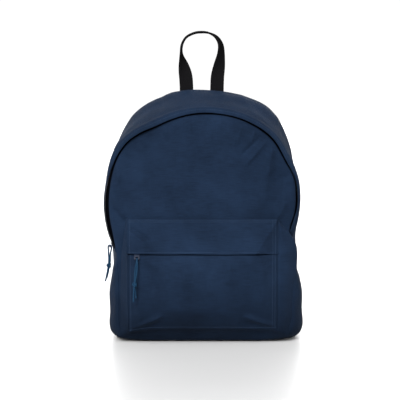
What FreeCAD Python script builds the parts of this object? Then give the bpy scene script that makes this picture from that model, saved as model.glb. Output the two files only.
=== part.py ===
import FreeCAD, Part
import math
import os
import Sketcher

# A school backpack, in millimetres.  +Z is up and the bag stands on z = 0.  The front faces -Y and
# the shoulder straps are on the +Y side.  X = 0 is the middle plane of the body.
# The main zip runs round a circle in the plane y = zip_mid, so its slider turns about the circle's
# centre.  The front panel above the pocket folds forward about the line z = fold_height.

V = FreeCAD.Vector
Y_AXIS = V(0, 1, 0)
X_AXIS = V(1, 0, 0)

DIMENSIONS = [
    # body
    ("half_width", 147.0, "side of the lower body from the middle plane"),
    ("corner_radius", 24.0, "bottom corners seen from the front"),
    ("front_face", -58.0, "y of the front panel"),
    ("back_face", 62.0, "y of the back panel"),
    ("fabric", 2.5, "wall of the gusset and panels"),
    ("seam_gap", 0.1, "clearance between sewn pieces with curved faces"),
    ("part_gap", 0.3, "clearance between pieces that move on each other"),
    ("waist_low", 118.0, "height where the sides begin to draw in to the zip ends"),
    ("fold_height", 197.0, "line where the front panel folds forward"),
    # back panel's outline
    ("back_top", 400.0, "top of the back seam"),
    ("side_arc", 250.0, "radius of the upper sides"),
    ("shoulder_arc", 53.0, "radius of the top corners"),
    ("crown_arc", 205.0, "radius of the top"),
    ("seam_depth", 10.0, "straight edge of the gusset round the back panel"),
    ("shell_cloth", 1.5, "outer cloth of the back panel"),
    ("back_foam_thick", 6.0, "foam of the back panel"),
    ("lining_thick", 1.0, "lining of the back panel"),
    # main zip
    ("zip_radius", 155.0, "outer face of the gusset beside the zip"),
    ("zip_centre", 217.0, "height of the zip circle's centre"),
    ("zip_mid", -45.0, "y of the zip's middle line"),
    ("zip_drop", 26.0, "degrees that the zip's ends lie below its centre"),
    ("below_zip", 2.6, "degrees between the zip's ends and the base gusset"),
    ("rim_radius", 147.0, "seam between the gusset and the front panel"),
    ("fold_drop", 7.4, "degrees below the centre where the folding part begins"),
    ("rim_flat", 6.0, "width from the zip to where the rim starts to slope"),
    ("band_clear", 4.0, "half width of the open window over the zip"),
    # zip chain and slider
    ("tape_thick", 0.8, "zip tape"),
    ("tape_reach", 8.0, "zip tape from the middle line to its far edge"),
    ("coil_gap", 0.6, "half of the space between the two coils"),
    ("coil_reach", 3.1, "outer edge of a coil from the middle line"),
    ("coil_height", 2.0, "coil above its tape"),
    ("slider_long", 11.0, "slider along the zip"),
    ("slider_wide", 7.4, "slider across the zip"),
    ("plate_thick", 1.2, "slider plates"),
    ("plate_low", 2.5, "underside of the slider's top plate above the tape"),
    ("neck_wide", 0.6, "web that joins the slider's plates between the coils"),
    ("bar_height", 8.0, "middle of the slider's bar above the tape"),
    ("bar_thick", 1.6, "slider's bar"),
    ("post_inner", 1.75, "half of the space between the bar's posts"),
    ("post_outer", 3.05, "outer face of the bar's posts"),
    ("stop_long", 2.4, "metal stops along the zip"),
    ("stop_angle", 0.5, "degrees between a zip's end and its stop"),
    ("under_gap", 0.5, "clearance under the tape"),
    ("web_long", 3.0, "slider's web along the zip"),
    ("main_slider_drop", 24.3, "degrees that the closed main slider lies below the centre"),
    # cord pulls
    ("cord_size", 2.5, "diameter of the pull cords"),
    ("knot_high", 4.6, "half height of a pull's knot"),
    ("knot_wide", 3.9, "half width of a pull's knot"),
    # pocket
    ("pocket_half", 119.0, "side of the pocket from the middle plane"),
    ("pocket_low", 14.0, "bottom seam of the pocket"),
    ("pocket_face", -88.5, "y of the pocket front at its edges"),
    ("pocket_bulge", 3.6, "how far the pocket front stands out in its middle"),
    ("band_edge", 139.5, "lower edge of the band over the pocket zip"),
    ("pocket_zip", 134.0, "height of the pocket zip's middle line"),
    ("pocket_lip", 129.5, "upper edge of the pocket front below the zip"),
    ("pocket_tape_face", -84.0, "y of the pocket zip tape's outer face"),
    ("pocket_slider_x", -101.5, "closed place of the pocket slider"),
    ("pocket_tape_reach", 8.5, "pocket zip tape from the middle line to its far edge"),
    ("band_tilt", 0.5, "how much lower the back of the band's edge is"),
    ("band_rise", 5.5, "the band's thickness measured upright"),
    # haul loop
    ("loop_wide", 22.0, "width of the haul loop's webbing"),
    ("loop_thick", 1.6, "thickness of the haul loop's webbing"),
    ("loop_y", 55.0, "plane of the haul loop"),
    ("loop_foot", 400.4, "lower end of the haul loop's legs"),
    # shoulder straps
    ("strap_wide", 62.0, "padded part of a shoulder strap"),
    ("strap_arc", 370.0, "radius of the strap's bow, seen from the side"),
    ("strap_out", 88.3, "y of the middle of the strap's bow"),
    ("strap_mid", 270.0, "height of the middle of the strap's bow"),
    ("strap_top", 380.0, "height where a strap meets the back"),
    ("strap_top_x", 45.0, "middle of a strap at its top"),
    ("strap_lean", 7.0, "degrees that a strap leans outwards"),
    ("strap_half", 4.5, "half of the strap's thickness"),
    ("strap_skin", 1.1, "strap's outer cloth and lining"),
    ("webbing_wide", 25.0, "lower webbing"),
    ("webbing_thick", 1.4, "lower webbing"),
    ("tail_long", 78.0, "free end of the lower webbing below the buckle"),
    ("buckle_wide", 34.0, "ladder lock"),
    ("buckle_long", 25.0, "ladder lock"),
    ("buckle_thick", 4.0, "ladder lock"),
    ("buckle_slot", 5.0, "slots of the ladder lock"),
    ("buckle_low", 132.0, "lower edge of the ladder lock"),
    ("buckle_back", 67.0, "y of the ladder lock's inner face"),
    ("buckle_tab_long", 22.0, "webbing tab that holds the ladder lock"),
    ("anchor_x", 122.0, "middle of the lower webbing's foot"),
    ("anchor_height", 34.0, "height of the lower webbing's foot"),
    ("anchor_spread", 34.0, "anchor tab along the side seam above that foot"),
    ("anchor_thick", 1.2, "anchor tab"),
]

# Bends of each pull's cord in the plane across the slider's bar, measured outwards and upwards
# from the middle of the bar.  Both strands start at the same place behind the bar, one going up
# and over it, the other straight down.
PULL_OUTER = [(-2.6, -2.6), (-2.6, 2.6), (2.6, 2.6), (4.4, -5.5), (6.8, -14.5), (6.6, -25.0),
              (7.0, -33.0), (9.0, -44.0), (9.6, -55.0)]
PULL_INNER = [(-2.6, -2.6), (-2.6, -5.8), (-1.0, -10.5), (0.8, -18.0), (3.6, -26.0),
              (4.3, -33.0), (4.8, -41.0), (6.3, -50.0)]
PULL_KNOT = (5.7, -29.5)
POCKET_OUTER = [(-2.6, -2.6), (-2.6, 2.6), (2.6, 2.6), (4.0, -5.5), (6.2, -15.0), (7.2, -28.0),
                (7.3, -40.0), (8.7, -51.0), (8.3, -64.0)]
POCKET_INNER = [(-2.6, -2.6), (-2.6, -5.8), (-0.9, -11.0), (1.6, -20.0), (4.2, -32.0),
                (4.6, -41.0), (4.9, -50.0), (4.3, -59.0)]
POCKET_KNOT = (5.9, -37.0)

doc = FreeCAD.newDocument("backpack")
sheet = doc.addObject("Spreadsheet::Sheet", "Dim")
for row, (alias, value, note) in enumerate(DIMENSIONS, start=1):
    sheet.set(f"A{row}", str(value))
    sheet.setAlias(f"A{row}", alias)
    sheet.set(f"B{row}", note)
doc.recompute()

NAMES = sorted((alias for alias, _, _ in DIMENSIONS), key=len, reverse=True)
nodes = []


def dim(alias):
    """A driving dimension as a number."""
    return float(getattr(sheet, alias))


def bound(text):
    """An expression in which each driving dimension is read from the sheet."""
    words = text.replace("(", "( ").replace(")", " )").split()
    return " ".join(f"Dim.{word}" if word in NAMES else word for word in words)


def keep(item, label):
    """Give a finished piece its name."""
    item.Label = label
    nodes.append(item)
    return item


def origin_feature(body, role):
    return [item for item in body.Origin.OriginFeatures if item.Role == role][0]


def polygon_sketch(body, role, corners, offset="0"):
    """A closed outline of straight lines; two bound distances hold each corner."""
    sketch = body.newObject("Sketcher::SketchObject", "outline")
    sketch.AttachmentSupport = [(origin_feature(body, role), "")]
    sketch.MapMode = "FlatFace"
    sketch.setExpression("AttachmentOffset.Base.z", bound(offset))
    count = len(corners)
    start = [V(50 * math.cos(2 * math.pi * i / count), 50 * math.sin(2 * math.pi * i / count), 0)
             for i in range(count)]
    for i in range(count):
        sketch.addGeometry(Part.LineSegment(start[i], start[(i + 1) % count]), False)
    for i in range(count):
        sketch.addConstraint(Sketcher.Constraint("Coincident", i, 2, (i + 1) % count, 1))
    for i, (across, up) in enumerate(corners):
        for kind, place, text in (("DistanceX", start[i].x, across), ("DistanceY", start[i].y, up)):
            number = sketch.addConstraint(Sketcher.Constraint(kind, i, 1, place))
            sketch.renameConstraint(number, f"{kind}{i}")
            sketch.setExpression(f"Constraints.{kind}{i}", bound(text))
    return sketch


def padded_polygon(label, role, corners, length, offset="0"):
    """A flat piece: an outline pushed along its plane's normal."""
    body = doc.addObject("PartDesign::Body", label)
    sketch = polygon_sketch(body, role, corners, offset)
    pad = body.newObject("PartDesign::Pad", "pad")
    pad.Profile = sketch
    pad.setExpression("Length", bound(length))
    return keep(body, label)


def turned_polygon(label, role, axis_role, corners, angle, placement):
    """A curved piece: a section turned about one of its body's axes."""
    body = doc.addObject("PartDesign::Body", label)
    sketch = polygon_sketch(body, role, corners)
    turn = body.newObject("PartDesign::Revolution", "turn")
    turn.Profile = sketch
    turn.ReferenceAxis = (origin_feature(body, axis_role), [""])
    turn.setExpression("Angle", bound(angle))
    body.Placement = placement
    return keep(body, label)


def box(label, size, corner=()):
    """A rectangular block; its sizes and its lowest corner are expressions."""
    block = doc.addObject("Part::Box", label)
    for side, text in zip(("Length", "Width", "Height"), size):
        block.setExpression(side, bound(text))
    for letter, text in zip("xyz", corner):
        block.setExpression(f"Placement.Base.{letter}", bound(text))
    return block


def extruded(label, wire, start, length):
    """A plate whose outline lies in a plane of constant y."""
    outline = doc.addObject("Part::Feature", f"{label}_outline")
    outline.Shape = Part.Face(wire)
    outline.Placement = FreeCAD.Placement(V(0, start, 0), FreeCAD.Rotation())
    plate = doc.addObject("Part::Extrusion", label)
    plate.Base = outline
    plate.DirMode = "Custom"
    plate.Dir = Y_AXIS
    plate.Solid = True
    plate.setExpression("LengthFwd", bound(length))
    return keep(plate, label)


# ---------------------------------------------------------------- outlines seen from the front

def on_circle(centre, radius, degrees):
    angle = math.radians(degrees)
    return V(centre[0] + radius * math.cos(angle), 0, centre[1] + radius * math.sin(angle))


def arc_edge(centre, radius, start, end):
    middle = (start + end) / 2
    points = [on_circle(centre, radius, degrees) for degrees in (start, middle, end)]
    return Part.Arc(*points).toShape()


def line_edge(start, end):
    return Part.LineSegment(start, end).toShape()


def shoulder_centre():
    """Centre of the corner arc that touches the side arc and the crown arc from inside."""
    side = V(dim("zip_radius") - dim("side_arc"), 0, dim("zip_centre"))
    crown = V(0, 0, dim("back_top") - dim("crown_arc"))
    to_side = dim("side_arc") - dim("shoulder_arc")
    to_crown = dim("crown_arc") - dim("shoulder_arc")
    apart = crown - side
    along = (apart.Length ** 2 + to_side ** 2 - to_crown ** 2) / (2 * apart.Length)
    away = math.sqrt(to_side ** 2 - along ** 2)
    direction = V(apart).normalize()
    normal = V(-direction.z, 0, direction.x)
    options = [side + direction * along + normal * away * sign for sign in (1, -1)]
    best = max(options, key=lambda point: point.z)
    return side, best, crown


def arch_stations(below_zip=0.0):
    """Arcs of the back seam's right half, lowest first: centre, radius, start and end angle."""
    side, shoulder, crown = shoulder_centre()
    side_end = math.degrees(math.atan2(shoulder.z - side.z, shoulder.x - side.x))
    crown_start = math.degrees(math.atan2(shoulder.z - crown.z, shoulder.x - crown.x))
    zip_centre = (0, dim("zip_centre"))
    return [(zip_centre, dim("zip_radius"), -dim("zip_drop") - below_zip, 0),
            ((side.x, side.z), dim("side_arc"), 0, side_end),
            ((shoulder.x, shoulder.z), dim("shoulder_arc"), side_end, crown_start),
            ((0, crown.z), dim("crown_arc"), crown_start, 90)]


def circle_stations():
    """The zip circle's right half, divided where the back seam's arcs end."""
    centre = (0, dim("zip_centre"))
    ends = [-dim("zip_drop")]
    for place, radius, _, end in arch_stations():
        point = on_circle(place, radius, end)
        ends.append(math.degrees(math.atan2(point.z - centre[1], point.x)))
    return [(centre, dim("zip_radius"), start, end) for start, end in zip(ends, ends[1:])]


def arch_edges(stations, inset):
    """Edges over the top from the right end to the left one."""
    right = [arc_edge(centre, radius - inset, start, end)
             for centre, radius, start, end in stations[:-1]]
    centre, radius, start, _ = stations[-1]
    crown = arc_edge(centre, radius - inset, start, 180 - start)
    left = [arc_edge((-centre[0], centre[1]), radius - inset, 180 - end, 180 - start)
            for centre, radius, start, end in reversed(stations[:-1])]
    return right + [crown] + left


def base_edges(inset, end_radius, below_zip):
    """Edges from below the left zip end down, under the bag and up to below the right end."""
    centre = (0, dim("zip_centre"))
    side = dim("half_width") - inset
    corner = dim("corner_radius")
    middle = dim("half_width") - corner
    right_end = on_circle(centre, end_radius, -dim("zip_drop") - below_zip)
    left_end = V(-right_end.x, 0, right_end.z)
    return [line_edge(left_end, V(-side, 0, dim("waist_low"))),
            line_edge(V(-side, 0, dim("waist_low")), V(-side, 0, corner)),
            arc_edge((-middle, corner), corner - inset, 180, 270),
            line_edge(V(-middle, 0, inset), V(middle, 0, inset)),
            arc_edge((middle, corner), corner - inset, -90, 0),
            line_edge(V(side, 0, corner), V(side, 0, dim("waist_low"))),
            line_edge(V(side, 0, dim("waist_low")), right_end)]


def band_wire(outer, inner):
    """A closed outline from an outer and an inner run of edges."""
    start = line_edge(outer[0].firstVertex().Point, inner[0].firstVertex().Point)
    end = line_edge(outer[-1].lastVertex().Point, inner[-1].lastVertex().Point)
    return Part.Wire(outer + [end] + list(reversed(inner)) + [start])


# ---------------------------------------------------------------- body of the bag

def make_back():
    """Outer cloth, foam and lining, stacked inside the gusset."""
    inset = dim("fabric") + dim("seam_gap")
    below = dim("below_zip")
    outline = Part.Wire(base_edges(inset, dim("zip_radius") - inset, below)
                        + arch_edges(arch_stations(below), inset))
    outer = dim("back_face") - dim("shell_cloth")
    foam = outer - dim("back_foam_thick")
    extruded("back_panel", outline, outer, "shell_cloth")
    extruded("back_foam", outline, foam, "back_foam_thick")
    extruded("back_lining", outline, foam - dim("lining_thick"), "lining_thick")


def make_top_gusset():
    """The arched band from the zip back to the seam of the back panel."""
    sections = []
    places = ((circle_stations(), dim("zip_mid") + dim("band_clear")),
              (arch_stations(), dim("back_face") - dim("seam_depth")),
              (arch_stations(), dim("back_face")))
    for stations, place in places:
        section = doc.addObject("Part::Feature", "gusset_section")
        section.Shape = band_wire(arch_edges(stations, 0), arch_edges(stations, dim("fabric")))
        section.Placement = FreeCAD.Placement(V(0, place, 0), FreeCAD.Rotation())
        sections.append(section)
    loft = doc.addObject("Part::Loft", "top_gusset")
    loft.Sections = sections
    loft.Solid = True
    loft.Ruled = True
    keep(loft, "top_gusset")


def make_base_gusset():
    """The band that makes the lower sides and the base, one strip of cloth."""
    below = dim("below_zip")
    outer = base_edges(0, dim("zip_radius"), below)
    inner = base_edges(dim("fabric"), dim("zip_radius") - dim("fabric"), below)
    extruded("base_gusset", band_wire(outer, inner), dim("front_face"), "back_face - front_face")


def make_lower_front_panel():
    """The front panel behind the pocket, up to the fold line."""
    radius = dim("rim_radius") - dim("fabric") - dim("seam_gap")
    centre = (0, dim("zip_centre"))
    top = dim("fold_height") - dim("part_gap") / 2
    top_angle = math.degrees(math.asin((top - dim("zip_centre")) / radius))
    below = dim("below_zip")
    low_angle = -dim("zip_drop") - below
    sides = [arc_edge(centre, radius, low_angle, top_angle),
             arc_edge(centre, radius, 180 - top_angle, 180 - low_angle)]
    top_line = line_edge(sides[0].lastVertex().Point, sides[1].firstVertex().Point)
    inset = dim("fabric") + dim("seam_gap")
    wire = Part.Wire(base_edges(inset, radius, below) + [sides[0], top_line, sides[1]])
    extruded("lower_front_panel", wire, dim("front_face"), "fabric")


def make_door_panel():
    """The front panel above the fold line, a segment of a disc."""
    body = doc.addObject("PartDesign::Body", "upper_front_panel")
    sketch = body.newObject("Sketcher::SketchObject", "segment")
    sketch.AttachmentSupport = [(origin_feature(body, "XZ_Plane"), "")]
    sketch.MapMode = "FlatFace"
    sketch.setExpression("AttachmentOffset.Base.z", bound("( 0 - front_face ) - fabric"))
    radius = dim("rim_radius") - dim("fabric") - dim("seam_gap")
    height = dim("zip_centre")
    low = dim("fold_height") + dim("part_gap") / 2
    start = math.asin((low - height) / radius)
    circle = Part.Circle(V(0, height, 0), V(0, 0, 1), radius)
    sketch.addGeometry(Part.ArcOfCircle(circle, start, math.pi - start), False)
    right = V(radius * math.cos(start), low, 0)
    sketch.addGeometry(Part.LineSegment(V(-right.x, low, 0), right), False)
    constraints = [("Coincident", (0, 2, 1, 1), None, None),
                   ("Coincident", (1, 2, 0, 1), None, None),
                   ("Horizontal", (1,), None, None),
                   ("PointOnObject", (0, 3, -2), None, None),
                   ("Radius", (0, radius), "radius", "rim_radius - fabric - seam_gap"),
                   ("DistanceY", (0, 3, height), "height", "zip_centre"),
                   ("DistanceY", (1, 1, low), "low", "fold_height + part_gap / 2")]
    for kind, values, name, text in constraints:
        number = sketch.addConstraint(Sketcher.Constraint(kind, *values))
        if name:
            sketch.renameConstraint(number, name)
            sketch.setExpression(f"Constraints.{name}", bound(text))
    pad = body.newObject("PartDesign::Pad", "pad")
    pad.Profile = sketch
    pad.setExpression("Length", bound("fabric"))
    keep(body, "upper_front_panel")


# ---------------------------------------------------------------- main zip

def round_zip(start):
    """Place a turned section so that it begins at an angle; 0 is right, 90 is the top."""
    return FreeCAD.Placement(V(0, 0, dim("zip_centre")), FreeCAD.Rotation(Y_AXIS, 90 - start))


RIM_SECTION = [("front_face", "rim_radius"),
               ("zip_mid - rim_flat", "zip_radius"),
               ("zip_mid - band_clear", "zip_radius"),
               ("zip_mid - band_clear", "zip_radius - fabric"),
               ("zip_mid - rim_flat", "zip_radius - fabric"),
               ("front_face", "rim_radius - fabric")]
TAPE_TOP = "zip_radius - fabric"


def coil_section(side):
    """Coil of one half of the zip; side is -1 for the front half, +1 for the rear."""
    sign = "-" if side < 0 else "+"
    near = f"zip_mid {sign} coil_gap"
    return [(near, f"{TAPE_TOP} + coil_height"),
            (f"zip_mid {sign} coil_reach", f"{TAPE_TOP} + coil_height"),
            (f"zip_mid {sign} coil_reach", TAPE_TOP),
            (near, TAPE_TOP)]


def tape_section(side, reach="tape_reach"):
    """Tape of one half of the zip."""
    sign = "-" if side < 0 else "+"
    edge = f"zip_mid {sign} {reach}"
    near = f"zip_mid {sign} coil_gap"
    return [(near, TAPE_TOP), (edge, TAPE_TOP),
            (edge, f"{TAPE_TOP} - tape_thick"), (near, f"{TAPE_TOP} - tape_thick")]


def make_main_zip():
    """Both halves of the zip; the front half is cut where the panel folds."""
    left = 180 + dim("zip_drop")
    fold = 180 + dim("fold_drop")
    whole = "180 + 2 * zip_drop"
    door = "180 + 2 * fold_drop"
    ends = "zip_drop - fold_drop - 0.5"
    right_ends = -(dim("fold_drop") + 0.5)

    def ring(label, section, angle, start):
        turned_polygon(label, "YZ_Plane", "Y_Axis", section, angle, round_zip(start))

    ring("zip_tape_rear", tape_section(1), whole, left)
    ring("zip_coil_rear", coil_section(1), whole, left)
    ring("zip_tape_front", tape_section(-1, "rim_flat"), door, fold)
    ring("zip_coil_front", coil_section(-1), door, fold)
    ring("upper_rim", RIM_SECTION, door, fold)
    for side, start in (("left", left), ("right", right_ends)):
        ring(f"{side}_rim_end", RIM_SECTION, ends, start)
        ring(f"{side}_zip_tape_end", tape_section(-1, "rim_flat"), ends, start)
        ring(f"{side}_zip_coil_end", coil_section(-1), ends, start)


def make_main_stops():
    """Metal stops across the zip, just past its two ends."""
    blocks = []
    past = dim("zip_drop") + dim("stop_angle")
    for angle in (-past, 180 + past):
        block = box("stop", ("coil_height", "2 * coil_reach", "stop_long"))
        turn = FreeCAD.Rotation(Y_AXIS, -angle)
        lift = -dim("stop_long") if angle < 0 else 0.0
        corner = V(dim("zip_radius") - dim("fabric"), dim("zip_mid") - dim("coil_reach"), lift)
        block.Placement = FreeCAD.Placement(V(0, 0, dim("zip_centre")), turn).multiply(
            FreeCAD.Placement(corner, FreeCAD.Rotation()))
        blocks.append(block)
    pair = doc.addObject("Part::MultiFuse", "main_zip_stops")
    pair.Shapes = blocks
    keep(pair, "main_zip_stops")


def make_slider(label, placement, bar_along_zip):
    """A slider: two plates, the web between the coils, and a bar on two posts for the pull.

    In its own frame x is the height above the tape, y is across the zip and z is along it.
    """
    top = "plate_low + plate_thick"
    pieces = [box("top_plate", ("plate_thick", "slider_wide", "slider_long"),
                  ("plate_low", "0 - slider_wide / 2", "0 - slider_long / 2")),
              box("bottom_plate", ("plate_thick", "slider_wide", "slider_long"),
                  ("0 - tape_thick - plate_thick - under_gap", "0 - slider_wide / 2",
                   "0 - slider_long / 2")),
              box("web", ("plate_low + tape_thick + under_gap", "neck_wide", "web_long"),
                  ("0 - tape_thick - under_gap", "0 - neck_wide / 2", "0 - web_long / 2"))]
    bar_low = "bar_height - bar_thick / 2"
    bar_top = "bar_height + bar_thick / 2"
    post_size = "post_outer - post_inner"
    for start in ("post_inner", "0 - post_outer"):
        size = (f"{bar_top} - plate_low - plate_thick", post_size, "bar_thick")
        corner = (top, start, "0 - bar_thick / 2")
        if bar_along_zip:
            size = (size[0], size[2], size[1])
            corner = (corner[0], corner[2], corner[1])
        pieces.append(box("post", size, corner))
    size = ("bar_thick", "2 * post_outer", "bar_thick")
    corner = (bar_low, "0 - post_outer", "0 - bar_thick / 2")
    if bar_along_zip:
        size = (size[0], size[2], size[1])
        corner = (corner[0], corner[2], corner[1])
    pieces.append(box("bar", size, corner))
    slider = doc.addObject("Part::MultiFuse", label)
    slider.Shapes = pieces
    slider.Placement = placement
    return keep(slider, label)


def main_slider_frame():
    """Frame of the main slider: x points out of the bag, y is the world's Y."""
    angle = math.radians(dim("main_slider_drop"))
    outward = V(-math.cos(angle), 0, -math.sin(angle))
    base = V(0, dim("zip_mid"), dim("zip_centre")) + outward * (dim("zip_radius") - dim("fabric"))
    turn = FreeCAD.Rotation(outward, Y_AXIS, outward.cross(Y_AXIS), "XYZ")
    return FreeCAD.Placement(base, turn), base + outward * dim("bar_height")


def pocket_slider_frame():
    """Frame of the pocket slider: x points to the front, y points up."""
    base = V(dim("pocket_slider_x"), dim("pocket_tape_face"), dim("pocket_zip"))
    turn = FreeCAD.Rotation(V(0, -1, 0), V(0, 0, 1), V(-1, 0, 0), "XYZ")
    return FreeCAD.Placement(base, turn), base + V(0, -dim("bar_height"), 0)


# ---------------------------------------------------------------- cord pulls

def cord_tube(points, diameter):
    """A tube along straight runs joined by tangent arcs, and the radii of those arcs."""
    edges = []
    radii = []
    length = 0.0
    last = points[0]
    for before, corner, after in zip(points, points[1:], points[2:]):
        come = (corner - before).normalize()
        go = (after - corner).normalize()
        turn = come.getAngle(go)
        cut = 0.45 * min((corner - before).Length, (after - corner).Length)
        radius = cut / math.tan(turn / 2)
        start = corner - come * cut
        end = corner + go * cut
        inward = (go - come).normalize()
        centre = corner + inward * (radius / math.cos(turn / 2))
        middle = centre - inward * radius
        edges.append(Part.LineSegment(last, start).toShape())
        edges.append(Part.Arc(start, middle, end).toShape())
        length += (start - last).Length + radius * turn
        radii.append(round(radius, 1))
        last = end
    edges.append(Part.LineSegment(last, points[-1]).toShape())
    length += (points[-1] - last).Length
    path = Part.Wire(edges)
    section = Part.Wire(Part.Circle(points[0], points[1] - points[0], diameter / 2).toShape())
    return path.makePipeShell([section], True, False), radii, length


def make_pull(prefix, bar, outward, outer, inner, knot):
    """A looped cord over a slider's bar, knotted, with two free tails."""
    up = V(0, 0, 1)
    for name, route in (("outer", outer), ("inner", inner)):
        points = [bar + outward * out + up * rise for out, rise in route]
        tube, radii, length = cord_tube(points, dim("cord_size"))
        strand = doc.addObject("Part::Feature", f"{prefix}_strand_{name}")
        strand.Shape = tube
        keep(strand, f"{prefix}_strand_{name}")
        wanted = math.pi * (dim("cord_size") / 2) ** 2 * length
        print(prefix, name, "radii", radii, "length", round(length, 1),
              "volume ratio", round(tube.Volume / wanted, 4))
    ball = doc.addObject("Part::Ellipsoid", f"{prefix}_knot")
    ball.setExpression("Radius1", bound("knot_high"))
    ball.setExpression("Radius2", bound("knot_wide"))
    ball.setExpression("Radius3", bound("knot_wide"))
    ball.Placement = FreeCAD.Placement(bar + outward * knot[0] + up * knot[1], FreeCAD.Rotation())
    keep(ball, f"{prefix}_knot")


# ---------------------------------------------------------------- pocket

SEAM = "front_face - seam_gap"
SEAM_TOP = "fold_height - 2 * seam_gap"


def make_pocket():
    """The front pocket: a band over the zip, a front and a U-shaped gusset."""
    padded_polygon("pocket_band", "YZ_Plane",
                   [(SEAM, SEAM_TOP),
                    ("pocket_face", "band_edge"),
                    ("pocket_face + fabric", "band_edge - band_tilt"),
                    (SEAM, f"{SEAM_TOP} - band_rise")],
                   "2 * pocket_half", "0 - pocket_half")

    low = "pocket_low + fabric + seam_gap"
    height = "( pocket_lip - pocket_low )"
    front = "pocket_tape_face - seam_gap - fabric"
    back = "pocket_tape_face - seam_gap"
    middle = [("pocket_bulge", f"pocket_low + {height} * 0.3"),
              ("pocket_bulge", f"pocket_low + {height} * 0.7")]
    outer = [(f"{front} - {out}", up) for out, up in middle]
    inner = [(f"{back} - {out}", up) for out, up in reversed(middle)]
    padded_polygon("pocket_front", "YZ_Plane",
                   [(front, low)] + outer + [(front, "pocket_lip"), (back, "pocket_lip")]
                   + inner + [(back, low)],
                   "2 * ( pocket_half - fabric - seam_gap )",
                   "0 - ( pocket_half - fabric - seam_gap )")

    side_top = "band_edge - band_tilt - part_gap"
    seam_top = f"{SEAM_TOP} - band_rise - part_gap"
    side = [(SEAM, "pocket_low"), ("pocket_face", "pocket_low"), ("pocket_face", side_top),
            ("pocket_face + fabric", side_top), (SEAM, seam_top)]
    strips = []
    for start in ("0 - pocket_half", "pocket_half - fabric"):
        strips.append(padded_polygon("pocket_side", "YZ_Plane", side, "fabric", start))
    strips.append(box("pocket_base",
                      ("2 * pocket_half", "front_face - seam_gap - pocket_face", "fabric"),
                      ("0 - pocket_half", "pocket_face", "pocket_low")))
    for strip in strips[:2]:
        nodes.remove(strip)
    gusset = doc.addObject("Part::MultiFuse", "pocket_gusset")
    gusset.Shapes = strips
    keep(gusset, "pocket_gusset")


def make_pocket_zip():
    """Two straight halves of zip with their stops."""
    half = "pocket_half - fabric - part_gap"
    full = f"2 * ( {half} )"
    for name, sign in (("upper", "+"), ("lower", "-")):
        inward = "coil_gap" if sign == "+" else "pocket_tape_reach"
        keep(box(f"pocket_zip_tape_{name}",
                 (full, "tape_thick", "pocket_tape_reach - coil_gap"),
                 (f"0 - ( {half} )", "pocket_tape_face", f"pocket_zip {sign} {inward}")),
             f"pocket_zip_tape_{name}")
        inward = "coil_gap" if sign == "+" else "coil_reach"
        keep(box(f"pocket_zip_coil_{name}",
                 (full, "coil_height", "coil_reach - coil_gap"),
                 (f"0 - ( {half} )", "pocket_tape_face - coil_height",
                  f"pocket_zip {sign} {inward}")),
             f"pocket_zip_coil_{name}")


# ---------------------------------------------------------------- haul loop

def make_haul_loop():
    """Webbing that stands on the top seam, turned a quarter so that its edge shows at the top."""
    stations = [(-25.0, 0.0, 0, 0), (-25.4, 22.0, 0, 12), (-28.0, 42.0, 0, 50),
                (-30.0, 60.0, 0, 82), (-29.0, 74.0, 14, 90), (-22.0, 87.0, 50, 90),
                (-10.0, 92.6, 80, 90), (0.0, 93.6, 90, 90)]
    mirrored = [(-x, rise, 180 - lean, 180 - twist) for x, rise, lean, twist
                in reversed(stations[:-1])]
    wires = []
    for x, rise, lean, twist in stations + mirrored:
        tangent = V(math.sin(math.radians(lean)), 0, math.cos(math.radians(lean)))
        across = V(math.cos(math.radians(lean)), 0, -math.sin(math.radians(lean)))
        angle = math.radians(twist)
        width = across * math.cos(angle) + Y_AXIS * math.sin(angle)
        depth = tangent.cross(width)
        centre = V(x, dim("loop_y"), dim("loop_foot") + rise)
        half = width * (dim("loop_wide") / 2)
        thin = depth * (dim("loop_thick") / 2)
        corners = [centre - half - thin, centre + half - thin, centre + half + thin,
                   centre - half + thin]
        wires.append(Part.makePolygon(corners + corners[:1]))
    loop = doc.addObject("Part::Feature", "haul_loop")
    loop.Shape = Part.makeLoft(wires, True, True)
    keep(loop, "haul_loop")


# ---------------------------------------------------------------- shoulder straps

def strap_frame(side):
    """Leans a strap outwards about the middle of its top end; side is -1 left, +1 right."""
    pivot = V(0, 0, dim("strap_top"))
    turn = FreeCAD.Rotation(Y_AXIS, -side * dim("strap_lean"))
    return FreeCAD.Placement(V(side * dim("strap_top_x"), 0, 0), turn, pivot)


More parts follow.
